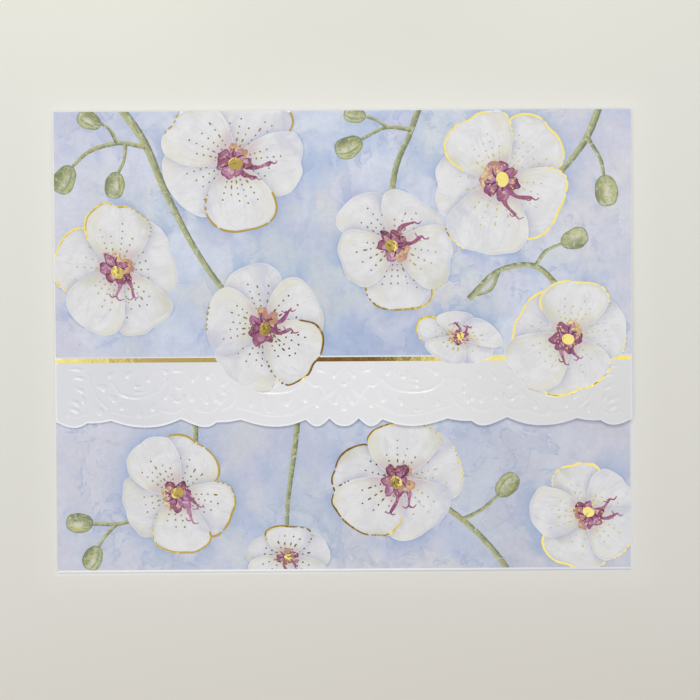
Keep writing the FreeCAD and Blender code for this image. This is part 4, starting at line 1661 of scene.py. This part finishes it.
world = bpy.data.worlds.new("soft_studio")
bpy.context.scene.world = world
world.use_nodes = True
wt = world.node_tree
wt.nodes.clear()
wo = wt.nodes.new("ShaderNodeOutputWorld")
bg = wt.nodes.new("ShaderNodeBackground")
wt.links.new(bg.outputs[0], wo.inputs["Surface"])
tc = wt.nodes.new("ShaderNodeTexCoord")
LOW, RING = 0.25, 1.18


def wmath(op, a, b):
    n = wt.nodes.new("ShaderNodeMath")
    n.operation = op
    wt.links.new(a, n.inputs[0])
    if isinstance(b, float):
        n.inputs[1].default_value = b
    else:
        wt.links.new(b, n.inputs[1])
    return n.outputs[0]


def one():
    n = wt.nodes.new("ShaderNodeValue")
    n.outputs[0].default_value = 1.0
    return n.outputs[0]


def wspan(x, a, b, c, d):
    n = wt.nodes.new("ShaderNodeMapRange")
    n.interpolation_type = "SMOOTHSTEP"
    wt.links.new(x, n.inputs["Value"])
    n.inputs["From Min"].default_value = a
    n.inputs["From Max"].default_value = b
    n.inputs["To Min"].default_value = c
    n.inputs["To Max"].default_value = d
    return n.outputs["Result"]


z_ = wt.nodes.new("ShaderNodeSeparateXYZ")
wt.links.new(tc.outputs["Generated"], z_.inputs[0])
up = wmath("MAXIMUM", z_.outputs[2], 0.02)
tx, ty = wmath("DIVIDE", z_.outputs[0], up), wmath("DIVIDE", z_.outputs[1], up)


def patch(cx, cy, ax, ay, r0, r1, low):
    """A soft dim ellipse of sky near the zenith, in tangents of the angle."""
    u = wmath("MULTIPLY", wmath("SUBTRACT", tx, cx), 1.0 / ax)
    v = wmath("MULTIPLY", wmath("SUBTRACT", ty, cy), 1.0 / ay)
    return wspan(wmath("ADD", wmath("MULTIPLY", u, u), wmath("MULTIPLY", v, v)), r0, r1, low, 1.0)


# a bright ceiling, brightest in a ring round its middle and towards the far side,
# dim where the camera hangs and a little to its left
zen = z_.outputs[2]
slant = wmath("ADD", zen, wmath("MULTIPLY", z_.outputs[1], 0.02))
sky = wspan(slant, math.cos(math.radians(58)), math.cos(math.radians(40)), LOW, RING)
inner_ = wspan(zen, math.cos(math.radians(26)), math.cos(math.radians(20)), 0.0, 1.0)
sky = wmath("ADD", wmath("MULTIPLY", sky, wmath("SUBTRACT", one(), inner_)), wmath("MULTIPLY", inner_, 0.95))
dim1 = patch(-0.07, 0.01, 0.155, 0.31, 0.6, 1.25, 0.0)
dim2 = patch(-0.012, -0.07, 0.065, 0.15, 0.5, 1.5, 0.0)


def tinted(f, dark):
    """White where f is 1 and the dark colour where it is 0."""
    n = wt.nodes.new("ShaderNodeMix")
    n.data_type = "RGBA"
    wt.links.new(f, n.inputs["Factor"])
    n.inputs[6].default_value = dark
    n.inputs[7].default_value = (1.0, 1.0, 1.0, 1.0)
    return n.outputs[2]


both = wt.nodes.new("ShaderNodeMix")
both.data_type = "RGBA"
both.blend_type = "MULTIPLY"
both.inputs["Factor"].default_value = 1.0
wt.links.new(tinted(dim1, (0.50, 0.43, 0.40, 1.0)), both.inputs[6])
wt.links.new(tinted(dim2, (0.34, 0.24, 0.22, 1.0)), both.inputs[7])
wt.links.new(sky, bg.inputs["Strength"])
wt.links.new(both.outputs[2], bg.inputs["Color"])


def area(name, loc, size, power, look=(0, 0, 0), col=(1, 1, 1)):
    L = bpy.data.lights.new(name, "AREA")
    L.shape = "DISK"
    L.size = size
    L.energy = power
    L.color = col
    o = bpy.data.objects.new(name, L)
    o.location = loc
    d = Vector(look) - Vector(loc)
    o.rotation_euler = d.to_track_quat("-Z", "Y").to_euler()
    bpy.context.scene.collection.objects.link(o)
    return o


area("lamp", (-0.03, 0.36, 0.46), 0.24, 0.76)

cam = bpy.data.cameras.new("camera")
cam.sensor_fit = "HORIZONTAL"
cam.sensor_width = 36.0
F_PX = 1086.08
cam.lens = F_PX / 700.0 * 36.0
cam.clip_start = 0.01
co = bpy.data.objects.new("camera", cam)
bpy.context.scene.collection.objects.link(co)
rx, ry, rz = -0.0114, -0.0042, -0.0061
R = Matrix.Rotation(rz, 3, "Z") @ Matrix.Rotation(ry, 3, "Y") @ Matrix.Rotation(rx, 3, "X")
M = R.to_4x4()
M.translation = Vector((0.0004043, 0.0007294, 0.240))
co.matrix_world = M
bpy.context.scene.camera = co

sc_ = bpy.context.scene
sc_.view_settings.view_transform = "Standard"
sc_.view_settings.look = "None"
sc_.view_settings.exposure = 0.0
sc_.view_settings.gamma = 1.0

tri = len(me.polygons)
print("triangles", tri, "face A", len(FA), "face B", len(FB), "walls", len(walls))
